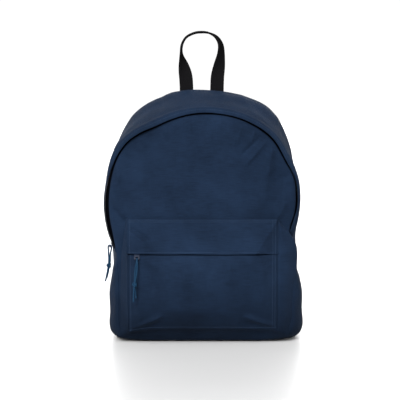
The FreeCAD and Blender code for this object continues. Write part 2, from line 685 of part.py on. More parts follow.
def make_strap(name, side):
    """One padded strap in three layers, its buckle and the end of the lower webbing."""
    lean = strap_frame(side)
    centre = V(0, dim("strap_out") - dim("strap_arc"), dim("strap_mid"))
    half_turn = math.degrees(math.asin((dim("strap_top") - dim("strap_mid")) / dim("strap_arc")))
    arc = FreeCAD.Placement(centre, FreeCAD.Rotation(X_AXIS, -half_turn))
    layers = [("lining", "0 - strap_half", "strap_skin - strap_half"),
              ("foam", "strap_skin - strap_half", "strap_half - strap_skin"),
              ("cover", "strap_half - strap_skin", "strap_half")]
    for layer, low, high in layers:
        section = [("0 - strap_wide / 2", f"strap_arc + {low}"),
                   ("strap_wide / 2", f"strap_arc + {low}"),
                   ("strap_wide / 2", f"strap_arc + {high}"),
                   ("0 - strap_wide / 2", f"strap_arc + {high}")]
        turned_polygon(f"{name}_strap_{layer}", "XY_Plane", "X_Axis", section,
                       "2 * asin( ( strap_top - strap_mid ) / strap_arc )", lean.multiply(arc))

    low_end = dim("strap_mid") - (dim("strap_top") - dim("strap_mid"))
    tab = box(f"{name}_buckle_tab", ("webbing_wide", "webbing_thick", "buckle_tab_long"))
    tab.Placement = lean.multiply(FreeCAD.Placement(
        V(-dim("webbing_wide") / 2, dim("buckle_back") - 2 * dim("webbing_thick"),
          low_end - dim("buckle_tab_long") / 2), FreeCAD.Rotation()))
    keep(tab, f"{name}_buckle_tab")

    frame = box("buckle_frame", ("buckle_wide", "buckle_thick", "buckle_long"))
    slots = []
    for place in (0.24, 0.66):
        slot = box("buckle_slot", ("webbing_wide + 2", "buckle_thick", "buckle_slot"))
        slot.Placement = FreeCAD.Placement(
            V((dim("buckle_wide") - dim("webbing_wide") - 2) / 2, 0,
              place * dim("buckle_long") - dim("buckle_slot") / 2 + 1.2), FreeCAD.Rotation())
        slots.append(slot)
    both = doc.addObject("Part::MultiFuse", "buckle_slots")
    both.Shapes = slots
    buckle = doc.addObject("Part::Cut", f"{name}_ladder_lock")
    buckle.Base = frame
    buckle.Tool = both
    buckle.Placement = lean.multiply(FreeCAD.Placement(
        V(-dim("buckle_wide") / 2, dim("buckle_back"), dim("buckle_low")), FreeCAD.Rotation()))
    keep(buckle, f"{name}_ladder_lock")

    tail = box(f"{name}_webbing_tail", ("webbing_wide", "webbing_thick", "tail_long"))
    tail.Placement = lean.multiply(FreeCAD.Placement(
        V(-dim("webbing_wide") / 2, dim("buckle_back") + dim("buckle_thick") + dim("seam_gap"),
          dim("buckle_low") + dim("buckle_long") / 2 - dim("tail_long")), FreeCAD.Rotation()))
    keep(tail, f"{name}_webbing_tail")

    top = lean.multVec(V(0, 0, dim("buckle_low") - 2))
    foot = V(side * dim("anchor_x"), 0, dim("anchor_height"))
    run = V(foot.x - top.x, 0, foot.z - top.z)
    slant = math.degrees(math.atan2(run.x, -run.z))
    webbing = box(f"{name}_lower_webbing",
                  ("webbing_wide", "webbing_thick", f"{run.Length:.4f}"))
    webbing.Placement = FreeCAD.Placement(
        V(foot.x, dim("back_face") + dim("anchor_thick") + 2 * dim("seam_gap"), foot.z),
        FreeCAD.Rotation(Y_AXIS, -slant)).multiply(
        FreeCAD.Placement(V(-dim("webbing_wide") / 2, 0, 0), FreeCAD.Rotation()))
    keep(webbing, f"{name}_lower_webbing")

    sign = "" if side > 0 else "0 - "
    padded_polygon(f"{name}_anchor_tab", "XZ_Plane",
                   [(f"{sign}( half_width - 1 )", "corner_radius / 2"),
                    (f"{sign}( half_width - 1 )", "anchor_height + anchor_spread"),
                    (f"{sign}( anchor_x - webbing_wide / 2 )", "anchor_height + webbing_wide / 2"),
                    (f"{sign}( anchor_x - webbing_wide / 2 )", "anchor_height - 4")],
                   "anchor_thick", "0 - back_face - anchor_thick - seam_gap")


# ---------------------------------------------------------------- build and write

make_back()
make_top_gusset()
make_base_gusset()
make_lower_front_panel()
make_door_panel()
make_main_zip()
make_main_stops()
make_pocket()
make_pocket_zip()
slider_place, main_bar = main_slider_frame()
make_slider("main_slider", slider_place, False)
slider_place, pocket_bar = pocket_slider_frame()
make_slider("pocket_slider", slider_place, True)
make_pull("main_pull", main_bar, V(-1, 0, 0), PULL_OUTER, PULL_INNER, PULL_KNOT)
make_pull("pocket_pull", pocket_bar, V(0, -1, 0), POCKET_OUTER, POCKET_INNER, POCKET_KNOT)
make_haul_loop()
make_strap("left", -1)
make_strap("right", 1)
doc.recompute()

for item in doc.Objects:
    if "Invalid" in item.State or "Error" in item.State:
        raise RuntimeError(f"{item.Label} did not compute: {item.State}")
for item in nodes:
    if item.Shape.isNull() or not item.Shape.isValid() or item.Shape.Volume <= 0:
        raise RuntimeError(f"{item.Label} has no valid solid")

os.makedirs("parts", exist_ok=True)
for item in nodes:
    item.Shape.exportStep(f"parts/{item.Label}.step")

print("bars", [round(value, 2) for value in (*main_bar, *pocket_bar)])
print(len(nodes), "nodes written")
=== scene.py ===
import math

import bmesh
import bpy
import numpy as np
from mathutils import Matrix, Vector
from mathutils.bvhtree import BVHTree


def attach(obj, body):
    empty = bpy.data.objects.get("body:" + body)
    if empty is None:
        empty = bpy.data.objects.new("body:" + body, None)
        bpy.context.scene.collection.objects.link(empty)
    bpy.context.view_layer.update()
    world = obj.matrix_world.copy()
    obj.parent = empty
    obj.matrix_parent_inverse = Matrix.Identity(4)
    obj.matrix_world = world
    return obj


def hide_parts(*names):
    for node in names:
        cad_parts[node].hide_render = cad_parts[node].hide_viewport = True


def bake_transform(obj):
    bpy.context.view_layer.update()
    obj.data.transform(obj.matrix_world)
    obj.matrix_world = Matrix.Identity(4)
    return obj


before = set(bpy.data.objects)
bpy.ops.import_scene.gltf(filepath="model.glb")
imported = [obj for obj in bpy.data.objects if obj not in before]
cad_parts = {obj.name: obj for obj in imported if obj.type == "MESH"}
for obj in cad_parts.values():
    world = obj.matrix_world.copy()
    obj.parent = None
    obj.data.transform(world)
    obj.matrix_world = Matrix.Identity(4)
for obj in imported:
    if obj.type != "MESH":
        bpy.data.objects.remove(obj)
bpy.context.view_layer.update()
scene = bpy.context.scene

# The school backpack's cloth, webbing, zips, cords and pads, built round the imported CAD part.
# Lengths in the tables are millimetres; place(), band() and the lines that say MM make metres.
# +Z is up, the front faces -Y.  Angles run round the main zip's centre: 0 is right, 90 the top.
MM = 0.001
ZIP_CENTRE = 217.0


# ---------------------------------------------------------------- curves and outlines

def curve(table):
    """A smooth function through (input, value) pairs, level outside them."""
    x, y = np.array(sorted(table), float).T
    slope = np.gradient(y, x)

    def at(t):
        t = np.clip(np.asarray(t, float), x[0], x[-1])
        i = np.clip(np.searchsorted(x, t, side="right") - 1, 0, len(x) - 2)
        h = x[i + 1] - x[i]
        s = (t - x[i]) / h
        return ((1 + 2 * s) * (1 - s) ** 2 * y[i] + s * (1 - s) ** 2 * h * slope[i]
                + s * s * (3 - 2 * s) * y[i + 1] + s * s * (s - 1) * h * slope[i + 1])
    return at


def polar(points):
    """(angle, distance) pairs of (X, Z) points seen from the zip's centre; -90 is below it."""
    pairs = []
    for x, z in points:
        angle = math.degrees(math.atan2(z - ZIP_CENTRE, x))
        pairs.append(((angle + 90) % 360 - 90, math.hypot(x, z - ZIP_CENTRE)))
    return pairs


def ring(lower, upper):
    """An outline by angle, from points below the zip's ends and (angle, distance) pairs above."""
    pairs = sorted(polar(lower) + upper)
    pairs = [(a - 360, r) for a, r in pairs[-4:]] + pairs + [(a + 360, r) for a, r in pairs[:4]]
    open_curve = curve(pairs)
    return lambda angle: open_curve((np.asarray(angle, float) + 90) % 360 - 90)


def smooth_step(t, start, end):
    """0 at start, 1 at end, level outside them."""
    t = np.clip((np.asarray(t, float) - start) / (end - start), 0, 1)
    return t * t * (3 - 2 * t)


def place(rho, angle, y):
    """Points in metres from distances and angles round the zip's centre."""
    turn = np.radians(angle)
    rho, turn, y = np.broadcast_arrays(rho, turn, y)
    return np.stack([rho * np.cos(turn), y, ZIP_CENTRE + rho * np.sin(turn)], -1) * MM


def ripple(x, z, size, seed, count=9):
    """Soft unevenness of about unit height, the same on every run."""
    rng = np.random.default_rng(seed)
    total = np.zeros(np.broadcast(x, z).shape)
    for _ in range(count):
        turn = rng.uniform(0, math.pi)
        pitch = size * rng.uniform(0.7, 1.8)
        phase = rng.uniform(0, 2 * math.pi)
        total += np.sin((x * math.cos(turn) + z * math.sin(turn)) * 2 * math.pi / pitch + phase)
    return total / math.sqrt(count)


def folds(x, z, lines):
    """Height of soft creases; each line is (x0, z0, x1, z1, half width, height)."""
    total = np.zeros(np.broadcast(x, z).shape)
    for x0, z0, x1, z1, width, height in lines:
        dx, dz = x1 - x0, z1 - z0
        length = math.hypot(dx, dz)
        along = ((x - x0) * dx + (z - z0) * dz) / length ** 2
        off = np.abs((x - x0) * dz - (z - z0) * dx) / length
        taper = np.clip(np.minimum(along, 1 - along) * 3 + 0.35, 0, 1)
        taper = taper * taper * (3 - 2 * taper)
        total += height * taper * np.exp(-(off / width) ** 1.6)
    return total


def disc(edge, count):
    """A grid over an outline given by angle: share of the way out, angle, radius, x and z."""
    side = np.linspace(-1, 1, count)
    a, b = np.meshgrid(side, side)
    across = a * np.sqrt(1 - b * b / 2)
    up = b * np.sqrt(1 - a * a / 2)
    share = np.hypot(across, up)
    angle = (np.degrees(np.arctan2(up, across)) + 90) % 360 - 90
    radius = share * edge(angle)
    x = radius * np.cos(np.radians(angle))
    z = ZIP_CENTRE + radius * np.sin(np.radians(angle))
    return share, angle, radius, x, z


# ---------------------------------------------------------------- meshes

def add(name, mesh):
    """A new piece in the scene."""
    thing = bpy.data.objects.new(name, mesh)
    scene.collection.objects.link(thing)
    return thing


def belongs(piece, slot, body, *nodes):
    """Ride a piece on its body and hide the CAD nodes that it stands for; its finish (slot) is not
    used.
    """
    if nodes:
        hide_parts(*nodes)
    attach(piece, body)


def shade(mesh):
    """Smooth shading."""
    mesh.polygons.foreach_set("use_smooth", np.ones(len(mesh.polygons), bool))
    mesh.update()


def grid_quads(points, flip):
    """The faces of a grid of points."""
    rows, cols = points.shape[:2]
    index = np.arange(rows * cols).reshape(rows, cols)
    quads = np.stack([index[:-1, :-1], index[:-1, 1:], index[1:, 1:], index[1:, :-1]], -1)
    quads = quads.reshape(-1, 4)
    return quads[:, ::-1] if flip else quads


def sheet_mesh(name, points, flip=False):
    """A sheet of quads through rows of points, with UVs in metres."""
    quads = grid_quads(points, flip)
    mesh = bpy.data.meshes.new(name)
    mesh.from_pydata(points.reshape(-1, 3).tolist(), [], quads.tolist())
    across = np.linalg.norm(np.diff(points, axis=1), axis=2).mean(0)
    down = np.linalg.norm(np.diff(points, axis=0), axis=2).mean(1)
    u = np.concatenate([[0], np.cumsum(across)])
    v = np.concatenate([[0], np.cumsum(down)])
    uv = np.stack(np.broadcast_arrays(u[None, :], v[:, None]), -1).reshape(-1, 2)
    layer = mesh.uv_layers.new(name="UVMap")
    layer.data.foreach_set("uv", uv[quads.ravel()].ravel().astype(np.float32))
    shade(mesh)
    return mesh


def bake(thing):
    """Apply every modifier of a piece."""
    graph = bpy.context.evaluated_depsgraph_get()
    mesh = bpy.data.meshes.new_from_object(thing.evaluated_get(graph))
    thing.modifiers.clear()
    thing.data = mesh
    return thing


def coordinates(thing):
    """A piece's points, in metres."""
    flat = np.empty(len(thing.data.vertices) * 3, np.float32)
    thing.data.vertices.foreach_get("co", flat)
    return flat.reshape(-1, 3).astype(float)


def settle(thing, points):
    """Move a piece's points."""
    thing.data.vertices.foreach_set("co", points.astype(np.float32).ravel())
    thing.data.update()


def cloth_sheet(name, points, material, thick=1.2, flip=False):
    """A sheet of cloth with its real thickness."""
    thing = add(name, sheet_mesh(name, points, flip))
    thing.data.materials.append(material)
    skin = thing.modifiers.new("thickness", "SOLIDIFY")
    skin.thickness = thick * MM
    skin.offset = -1.0
    return bake(thing)


def weld(thing, distance, close=False):
    """Join points that meet, close open ends if asked, and turn every face outward."""
    work = bmesh.new()
    work.from_mesh(thing.data)
    bmesh.ops.remove_doubles(work, verts=work.verts, dist=distance)
    if close:
        bmesh.ops.holes_fill(work, edges=[e for e in work.edges if e.is_boundary])
    bmesh.ops.recalc_face_normals(work, faces=work.faces)
    work.to_mesh(thing.data)
    work.free()
    return thing


def join_meshes(name, parts, material):
    """One piece from (vertices, faces) pairs."""
    vertices, faces = [], []
    start = 0
    for points, quads in parts:
        vertices.append(points)
        faces.extend([[start + i for i in face] for face in quads])
        start += len(points)
    mesh = bpy.data.meshes.new(name)
    mesh.from_pydata(np.concatenate(vertices).tolist(), [], faces)
    shade(mesh)
    thing = add(name, mesh)
    thing.data.materials.append(material)
    return weld(thing, 1e-9)


def frames_along(path):
    """Unit tangents of a path of points."""
    tangent = np.gradient(path, axis=0)
    return tangent / np.maximum(np.linalg.norm(tangent, axis=1, keepdims=True), 1e-12)


def tube_parts(path, normal, wide, high, sides=10):
    """(vertices, faces) of an oval tube along a path; normal is the direction of its height."""
    tangent = frames_along(path)
    side = np.cross(tangent, normal)
    side /= np.maximum(np.linalg.norm(side, axis=1, keepdims=True), 1e-12)
    up = np.cross(side, tangent)
    turn = np.linspace(0, 2 * math.pi, sides, endpoint=False)
    points = (path[:, None] + side[:, None] * (np.cos(turn) * wide)[None, :, None]
              + up[:, None] * (np.sin(turn) * high)[None, :, None])
    count = len(path)
    faces = []
    for i in range(count - 1):
        for j in range(sides):
            k = (j + 1) % sides
            faces.append((i * sides + j, (i + 1) * sides + j, (i + 1) * sides + k, i * sides + k))
    faces.append(tuple(range(sides)))
    faces.append(tuple(count * sides - 1 - j for j in range(sides)))
    return points.reshape(-1, 3), faces


def resample(path, step):
    """Points at even steps along a path."""
    length = np.concatenate([[0], np.cumsum(np.linalg.norm(np.diff(path, axis=0), axis=1))])
    count = max(2, int(round(length[-1] / step)) + 1)
    places = np.linspace(0, length[-1], count)
    return np.stack([np.interp(places, length, path[:, k]) for k in range(3)], -1)


def stitches(path, normal, pitch=3.2, long=2.2, radius=0.32, lift=0.1):
    """(vertices, faces) pairs of a row of stitches that lie on a surface."""
    dense = resample(path, pitch * MM)
    if normal.ndim == 2:
        place_of = np.linspace(0, 1, len(normal))
        wanted = np.linspace(0, 1, len(dense))
        normal = np.stack([np.interp(wanted, place_of, normal[:, k]) for k in range(3)], -1)
    else:
        normal = np.repeat(normal[None], len(dense), 0)
    tangent = frames_along(dense)
    side = np.cross(tangent, normal)
    side /= np.maximum(np.linalg.norm(side, axis=1, keepdims=True), 1e-12)
    up = np.cross(side, tangent)
    parts = []
    shape = ((-0.5, 0.35), (-0.36, 0.95), (0.0, 1.1), (0.36, 0.95), (0.5, 0.35))
    for point, t, s, u in zip(dense, tangent, side, up):
        rings = []
        for along, size in shape:
            centre = point + t * along * long * MM + u * (lift + radius * size * 0.4) * MM
            for a in (0.4, 1.25, 2.1, 2.9, 4.0, 5.4):
                rings.append(centre + (s * math.cos(a) + u * math.sin(a) * 0.8)
                             * radius * size * MM)
        faces = [(r * 6 + j, r * 6 + (j + 1) % 6, (r + 1) * 6 + (j + 1) % 6, (r + 1) * 6 + j)
                 for r in range(len(shape) - 1) for j in range(6)]
        faces += [(5, 4, 3, 2, 1, 0), tuple(range(24, 30))]
        parts.append((np.array(rings), faces))
    return parts


def normals_of(points):
    """Unit normals of a grid of points."""
    a = np.gradient(points, axis=1)
    b = np.gradient(points, axis=0)
    n = np.cross(a, b)
    return n / np.maximum(np.linalg.norm(n, axis=2, keepdims=True), 1e-12)


def facing(points, side):
    """Normals of a grid that all look towards -Y (side -1) or +Y (side 1)."""
    normal = normals_of(points)
    return np.where(normal[..., 1:2] * side < 0, -normal, normal)


# ---------------------------------------------------------------- materials

# A wave texture of this scale has bands one metre apart.
WAVE_METRE = 0.31416
# Height up to which painted shade darkens the cloth near the ground, in metres, and how much at
# most.
SHADE_HEIGHT, SHADE_DEPTH = 0.11, 0.58


def make(tree, kind, inputs=(), **settings):
    """A shader node; an input is a socket to link or a value."""
    new = tree.nodes.new("ShaderNode" + kind)
    for key, value in settings.items():
        setattr(new, key, value)
    for socket, value in inputs:
        if isinstance(value, bpy.types.NodeSocket):
            tree.links.new(value, new.inputs[socket])
        else:
            new.inputs[socket].default_value = value
    return new


def blank(name, rough, **constants):
    """A material with constants set on its shader's own sockets."""
    material = bpy.data.materials.new(name)
    material.use_nodes = True
    tree = material.node_tree
    shader = tree.nodes["Principled BSDF"]
    shader.inputs["Roughness"].default_value = rough
    for socket, value in constants.items():
        shader.inputs[socket.replace("_", " ")].default_value = value
    return material, tree, shader


def tint(tree, low, high, factor):
    """A colour between two, by a factor."""
    mixed = make(tree, "Mix", data_type="RGBA")
    mixed.inputs[6].default_value = (*low, 1)
    mixed.inputs[7].default_value = (*high, 1)
    tree.links.new(factor, mixed.inputs[0])
    return mixed.outputs[2]


def add_up(tree, *terms):
    """Sum of (socket, share) pairs."""
    total = None
    for socket, share in terms:
        part = make(tree, "Math", [(0, socket), (1, share)], operation="MULTIPLY").outputs[0]
        total = part if total is None else make(
            tree, "Math", [(0, total), (1, part)], operation="ADD").outputs[0]
    return total


def noise(tree, vector, scale, detail, rough=0.5):
    """Soft random mottling, from 0 to 1."""
    return make(tree, "TexNoise", [("Vector", vector), ("Scale", scale), ("Detail", detail),
                                   ("Roughness", rough)]).outputs["Fac"]


def waves(tree, vector, pitch, direction, distortion=0.0):
    """Bands at a pitch in millimetres, from 0 to 1."""
    return make(tree, "TexWave", [("Vector", vector), ("Scale", WAVE_METRE / (pitch * MM)),
                                  ("Distortion", distortion)],
                bands_direction=direction).outputs["Fac"]


def stretched(tree, vector, scale):
    """A vector scaled by three factors."""
    return make(tree, "Mapping", [("Vector", vector), ("Scale", scale)]).outputs[0]


def surface(tree, shader, colour, relief, strength, distance):
    """Link a colour and a bump to a shader."""
    tree.links.new(colour, shader.inputs["Base Color"])
    bump = make(tree, "Bump", [("Strength", strength), ("Distance", distance),
                               ("Height", relief)])
    tree.links.new(bump.outputs[0], shader.inputs["Normal"])


def woven(name, low, high, pitch=0.75, sheen=0.06, weave=0.6, slub=1.0, ground_shade=0.0):
    """Plain woven cloth: over and under threads, thicker threads here and there, mottling.

    ground_shade paints shade on it: the colour grows darker towards the ground.
    """
    material, tree, shader = blank(name, 0.8, Sheen_Weight=sheen, Sheen_Roughness=0.45,
                                   Sheen_Tint=(0.45, 0.62, 1.0, 1), Specular_IOR_Level=0.03)
    uv = make(tree, "UVMap").outputs[0]
    place_at = make(tree, "TexCoord").outputs["Object"]
    over = make(tree, "TexChecker", [("Vector", uv), ("Scale", 1 / (pitch * MM))])
    height = make(tree, "Mix", data_type="FLOAT")
    tree.links.new(over.outputs["Fac"], height.inputs[0])
    tree.links.new(waves(tree, uv, pitch, "X"), height.inputs[2])
    tree.links.new(waves(tree, uv, pitch, "Y"), height.inputs[3])
    thick_weft = noise(tree, stretched(tree, uv, (45, 1300, 1)), 1.0, 2.0)
    thick_warp = noise(tree, stretched(tree, uv, (1300, 60, 1)), 1.0, 2.0)
    rows = noise(tree, stretched(tree, uv, (55, 640, 1)), 1.0, 3.0, 0.65)
    patches = noise(tree, place_at, 14.0, 4.0, 0.6)
    factor = add_up(tree, (height.outputs[0], 0.20), (thick_weft, 0.45 * slub),
                    (thick_warp, 0.25 * slub), (rows, 0.8 * slub), (patches, 1.1),
                    (-0.9 * slub, 1.0))
    # Painted shade: the colour is scaled down towards the ground by height.
    above_ground = make(tree, "SeparateXYZ", [(0, place_at)]).outputs[2]
    shade_factor = make(tree, "MapRange", [("Value", above_ground), ("From Max", SHADE_HEIGHT),
                                    ("To Min", 1.0 - SHADE_DEPTH * ground_shade), ("To Max", 1.0)])
    colour = make(tree, "VectorMath", [(0, tint(tree, low, high, factor)),
                                       ("Scale", shade_factor.outputs[0])], operation="SCALE")
    relief = add_up(tree, (height.outputs[0], 1.0), (thick_weft, 0.8 * slub),
                    (thick_warp, 0.5 * slub), (rows, 0.8 * slub))
    surface(tree, shader, colour.outputs[0], relief, weave, 0.00025)
    return material


def ribbed(name, low, high, pitch=1.6, along="X"):
    """Webbing: fine ribs along its length and the short threads that cross them."""
    material, tree, shader = blank(name, 0.8, Specular_IOR_Level=0.0)
    uv = make(tree, "UVMap").outputs[0]
    ribs = waves(tree, uv, pitch, "Y" if along == "X" else "X")
    picks = waves(tree, uv, 0.55 * pitch, along, 0.4)
    fuzz = noise(tree, uv, 900.0, 3.0)
    factor = add_up(tree, (ribs, 0.45), (picks, 0.3), (fuzz, 0.3))
    relief = add_up(tree, (ribs, 1.0), (picks, 0.6), (fuzz, 0.3))
    surface(tree, shader, tint(tree, low, high, factor), relief, 0.5, 0.0003)
    return material


def braided(name, low, high, pitch=1.5):
    """Round cord: two sets of strands that cross on its surface."""
    material, tree, shader = blank(name, 0.7, Specular_IOR_Level=0.05)
    place_at = make(tree, "TexCoord").outputs["Object"]
    strands = []
    for tilt in (0.75, -0.75):
        turned = make(tree, "Mapping", [("Vector", place_at), ("Rotation", (tilt, tilt, 0.3))])
        strands.append(waves(tree, turned.outputs[0], pitch, "Z"))
    braid = make(tree, "Math", [(0, strands[0]), (1, strands[1])],
                 operation="MAXIMUM").outputs[0]
    factor = add_up(tree, (braid, 0.7), (noise(tree, place_at, 1500.0, 2.0), 0.4))
    surface(tree, shader, tint(tree, low, high, factor), braid, 0.6, 0.0003)
    return material


def moulded(name, low, high, rough=0.45, metal=0.0, grain=900.0, bump_size=0.25, gloss=0.3):
    """Plastic or painted metal with a fine grain and rubbed places."""
    material, tree, shader = blank(name, rough, Metallic=metal, Specular_IOR_Level=gloss)
    place_at = make(tree, "TexCoord").outputs["Object"]
    fine = noise(tree, place_at, grain, 3.0)
    factor = add_up(tree, (fine, 0.45), (noise(tree, place_at, 120.0, 4.0), 0.55))
    surface(tree, shader, tint(tree, low, high, factor), fine, bump_size, 0.0001)
    return material


def spacer_mesh(name, low, high, pitch=3.4):
    """Knitted mesh with round holes."""
    material, tree, shader = blank(name, 0.85, Sheen_Weight=0.3, Sheen_Roughness=0.5)
    place_at = make(tree, "TexCoord").outputs["Object"]
    holes = make(tree, "TexVoronoi", [("Vector", stretched(tree, place_at, (1, 0.0, 0.8))),
                                      ("Scale", 1 / (pitch * MM)), ("Randomness", 0.12)])
    edge = make(tree, "MapRange", [("Value", holes.outputs["Distance"]), ("From Min", 0.22),
                                   ("From Max", 0.42)]).outputs[0]
    factor = add_up(tree, (edge, 0.8), (noise(tree, place_at, 1100.0, 2.0), 0.3))
    surface(tree, shader, tint(tree, low, high, factor), edge, 0.7, 0.0006)
    return material


# The shell's colour carries painted shade near the ground.
SHELL = woven("shell_cloth", (0.0020, 0.0045, 0.0102), (0.0076, 0.0166, 0.0370), sheen=0.02,
              ground_shade=1.0)
SHELL_INSIDE = woven("shell_inside", (0.010, 0.014, 0.022), (0.022, 0.030, 0.045), pitch=0.9,
                     sheen=0.1, slub=0.3)
THREAD = woven("seam_thread", (0.007, 0.014, 0.028), (0.018, 0.032, 0.062), pitch=0.4,
               sheen=0.1, weave=0.2, slub=0.2)
TAPE = ribbed("zip_tape", (0.0004, 0.0005, 0.0008), (0.0014, 0.0016, 0.0024), pitch=0.8)
COIL = moulded("zip_coil", (0.0008, 0.0009, 0.0013), (0.0026, 0.0030, 0.0042), rough=0.5)
WEBBING = ribbed("webbing", (0.0016, 0.0015, 0.0017), (0.0070, 0.0068, 0.0074), along="Y")
CORD = braided("cord", (0.0008, 0.0055, 0.0135), (0.0060, 0.0250, 0.0540))
METAL = moulded("slider_metal", (0.0035, 0.0058, 0.0125), (0.0085, 0.0130, 0.0270), rough=0.55,
                metal=0.1, gloss=0.15)
PLASTIC = moulded("buckle_plastic", (0.0045, 0.0045, 0.0050), (0.0105, 0.0105, 0.0115),
                  rough=0.42, grain=1800.0, bump_size=0.4)
MESH = spacer_mesh("mesh_lining", (0.004, 0.006, 0.011), (0.018, 0.026, 0.044))


# ---------------------------------------------------------------- outlines of the body

# y of the back seam, where the sides start to turn in, the ridge above the zip, the seams of the
# base and of the front panel, and the plane that the pocket's depth is counted from.
BACK_SEAM, MIDDLE, RIDGE_Y, BASE_SEAM, POCKET_PLANE = 62, -10, -41.0, -57.0, -58

MID = ring(
    [(155, 150), (157, 135), (158, 118), (159.5, 90), (161.5, 62), (163.5, 42), (163.5, 24),
     (160, 11), (151, 3.5), (136, 0.8), (100, 0.3), (50, 0.3), (0, 0.3), (-50, 0.3), (-90, 0.3),
     (-124, 0.8), (-138, 4), (-146, 12), (-148.5, 24), (-148.6, 45), (-147.6, 70), (-146.4, 95),
     (-145.2, 119), (-145.4, 138)],
    [(-18.5, 161.5), (-14, 158.8), (-5, 156.6), (4, 156.8), (13, 159), (18.5, 160.8),
     (23, 163.2), (27, 166.6), (31.4, 171), (35.6, 175), (40, 179.5), (44.5, 183.5),
     (49, 187.5), (53.5, 190.5), (57.5, 191.6), (62, 191), (67, 189.6), (73.5, 187.8),
     (82, 185.6), (90, 184.6),
     (98, 184.6), (102.5, 184.9), (109.4, 185), (115.4, 185.6), (119.5, 185.4), (123, 184.6),
     (126, 183.2), (129, 181.2), (133.3, 176.5), (138, 171.8), (142.4, 167.4), (147, 164.2),
     (152.3, 162.3), (157.2, 161), (162, 159.4), (166.8, 157.8), (172, 157), (178, 157.2),
     (183, 157), (188, 156), (195, 155.5), (200, 157.4), (204.3, 161)])
EDGE = curve([(-30, 146), (-17, 146.5), (-10, 148.5), (-2.6, 151.6), (6.5, 153.6), (15.7, 155.8),
              (22, 154.4), (27.6, 152.8), (33, 153.4), (41.5, 155.4), (50.6, 155.2), (57, 154),
              (64.5, 152.6), (73, 150.6), (82, 148.8), (90, 147.6), (98.6, 146.8), (110, 146),
              (122, 147), (131, 152), (139.5, 156), (145, 156.2), (150.5, 156), (158, 155),
              (165, 154.6), (180, 154.6), (210, 154.6)])
EDGE_Y = curve([(-30, -41.2), (-23, -41.2), (-20, -45), (-16, -55), (-12, -59.4), (0, -60.5),
                (90, -60.5), (150, -60), (156, -56.5), (162, -49), (168, -43.5), (174, -41.2),
                (210, -41.2)])
RIDGE = curve([(-30, 154.5), (-18, 153.9), (-10, 153.8), (-2.6, 154.2), (6.5, 155.8),
               (15.7, 158), (25.6, 159.4), (33, 160.4), (41.5, 163), (50.6, 163.2), (64.5, 161),
               (82, 157.4), (98.6, 155.6), (110, 155.2),
               (122, 156.4), (131, 160.5), (139.5, 163.4), (150.5, 162.4), (158, 159),
               (166, 155.6), (174, 154.9), (210, 154.9)])
TAPE_AT = curve([(-27, 147.5), (-17, 148.4), (-10, 150.2), (-5, 151.2), (1, 151.8), (17.5, 153),
                 (27.6, 152), (41.5, 155), (50.6, 155), (64.5, 153.6), (82, 151.4),
                 (98.6, 150.2), (110, 149.8), (122, 150.6), (131, 153.6), (139.5, 155.4),
                 (150.5, 154.8), (160, 152.9), (170, 152.5), (207, 152.5)])
SEAM_FRONT = ring(
    [(140, 158), (141, 140), (141.5, 120), (142, 90), (142.5, 60), (142, 36), (139, 22),
     (131, 12), (118, 6.5), (100, 4.5), (60, 4), (0, 4), (-60, 4), (-100, 5), (-118, 8),
     (-127, 16), (-130.5, 30), (-131, 50), (-131, 80), (-132, 110), (-134, 130), (-136, 146),
     (-138.5, 161)],
    [(-14, 144.4), (-5, 147.6), (1, 149.4), (6.5, 150.4), (15.7, 152.6), (22, 151.4),
     (27.6, 149.8), (33, 150.2), (41.5, 152.2), (50.6, 152), (57, 150.8), (64.5, 149.4),
     (73, 147.6), (82, 145.8), (90, 144.6), (98.6, 143.8), (110, 143), (122, 144), (131, 149),
     (139.5, 152.8), (145, 153), (150.5, 152.4), (158, 150.4), (165, 148.6), (172, 147.4),
     (180, 146.8), (190, 146.6), (197, 147.2)])
GUSSET_ENDS = (-27.3, 207.3)


def depth_share(y, front):
    """0 over the middle of the bag's depth, 1 at the front seam, along a quarter round."""
    return np.sqrt(np.clip(1 - ((MIDDLE - y) / (MIDDLE - front)) ** 2, 0, 1))


# How far the cloth draws in towards the seam of the back panel, by y.
REAR_TRIM = curve([(62, 4.2), (61, 2.8), (58, 1.6), (50, 0.5), (40, 0)])


def top_radius(angle, y):
    """The arched gusset between the back seam and the ridge above the zip."""
    share = np.clip((40 - y) / 81.0, 0, 1)
    radius = MID(angle) * (1 - share) + RIDGE(angle) * share - REAR_TRIM(y)
    return radius + 1.6 * np.sin(np.pi * share)


def base_radius(angle, y):
    """The gusset of the lower sides and the base."""
    seam = SEAM_FRONT(angle)
    radius = MID(angle) - REAR_TRIM(y)
    radius = np.where(y < MIDDLE, seam + (radius - seam) * depth_share(y, BASE_SEAM), radius)
    turned = (angle + 90) % 360 - 90
    away = np.where(turned < 90, GUSSET_ENDS[0] - turned, turned - GUSSET_ENDS[1])
    share = smooth_step(away, 0, 9)
    waist = np.minimum(radius, top_radius(angle, np.maximum(y, RIDGE_Y)))
    return radius * share + waist * (1 - share)


# ---------------------------------------------------------------- gussets

def push(points, height):
    """Move a grid of points along its normals by heights in millimetres."""
    return points + normals_of(points) * height[..., None] * MM


def back_piping(name, gusset, outward):
    """The bound seam where a gusset meets the back panel."""
    bead = tube_parts(gusset[:, 0] + np.array([0, 0.0006, 0]), outward[:, 0], 1.5 * MM, 1.5 * MM)
    belongs(join_meshes(name, [bead], TAPE), "webbing", "bag")


TOP_CREASES = [(-40, 399, -95, 372, 6, 1.2), (30, 398, 20, 372, 7, -1.0),
               (60, 396, 96, 350, 6, 1.2), (-62, 392, -70, 366, 6, -1.0),
               (118, 360, 128, 330, 6, 1.2),
               (-120, 350, -140, 300, 7, 1.2), (146, 300, 150, 250, 7, -1.0)]


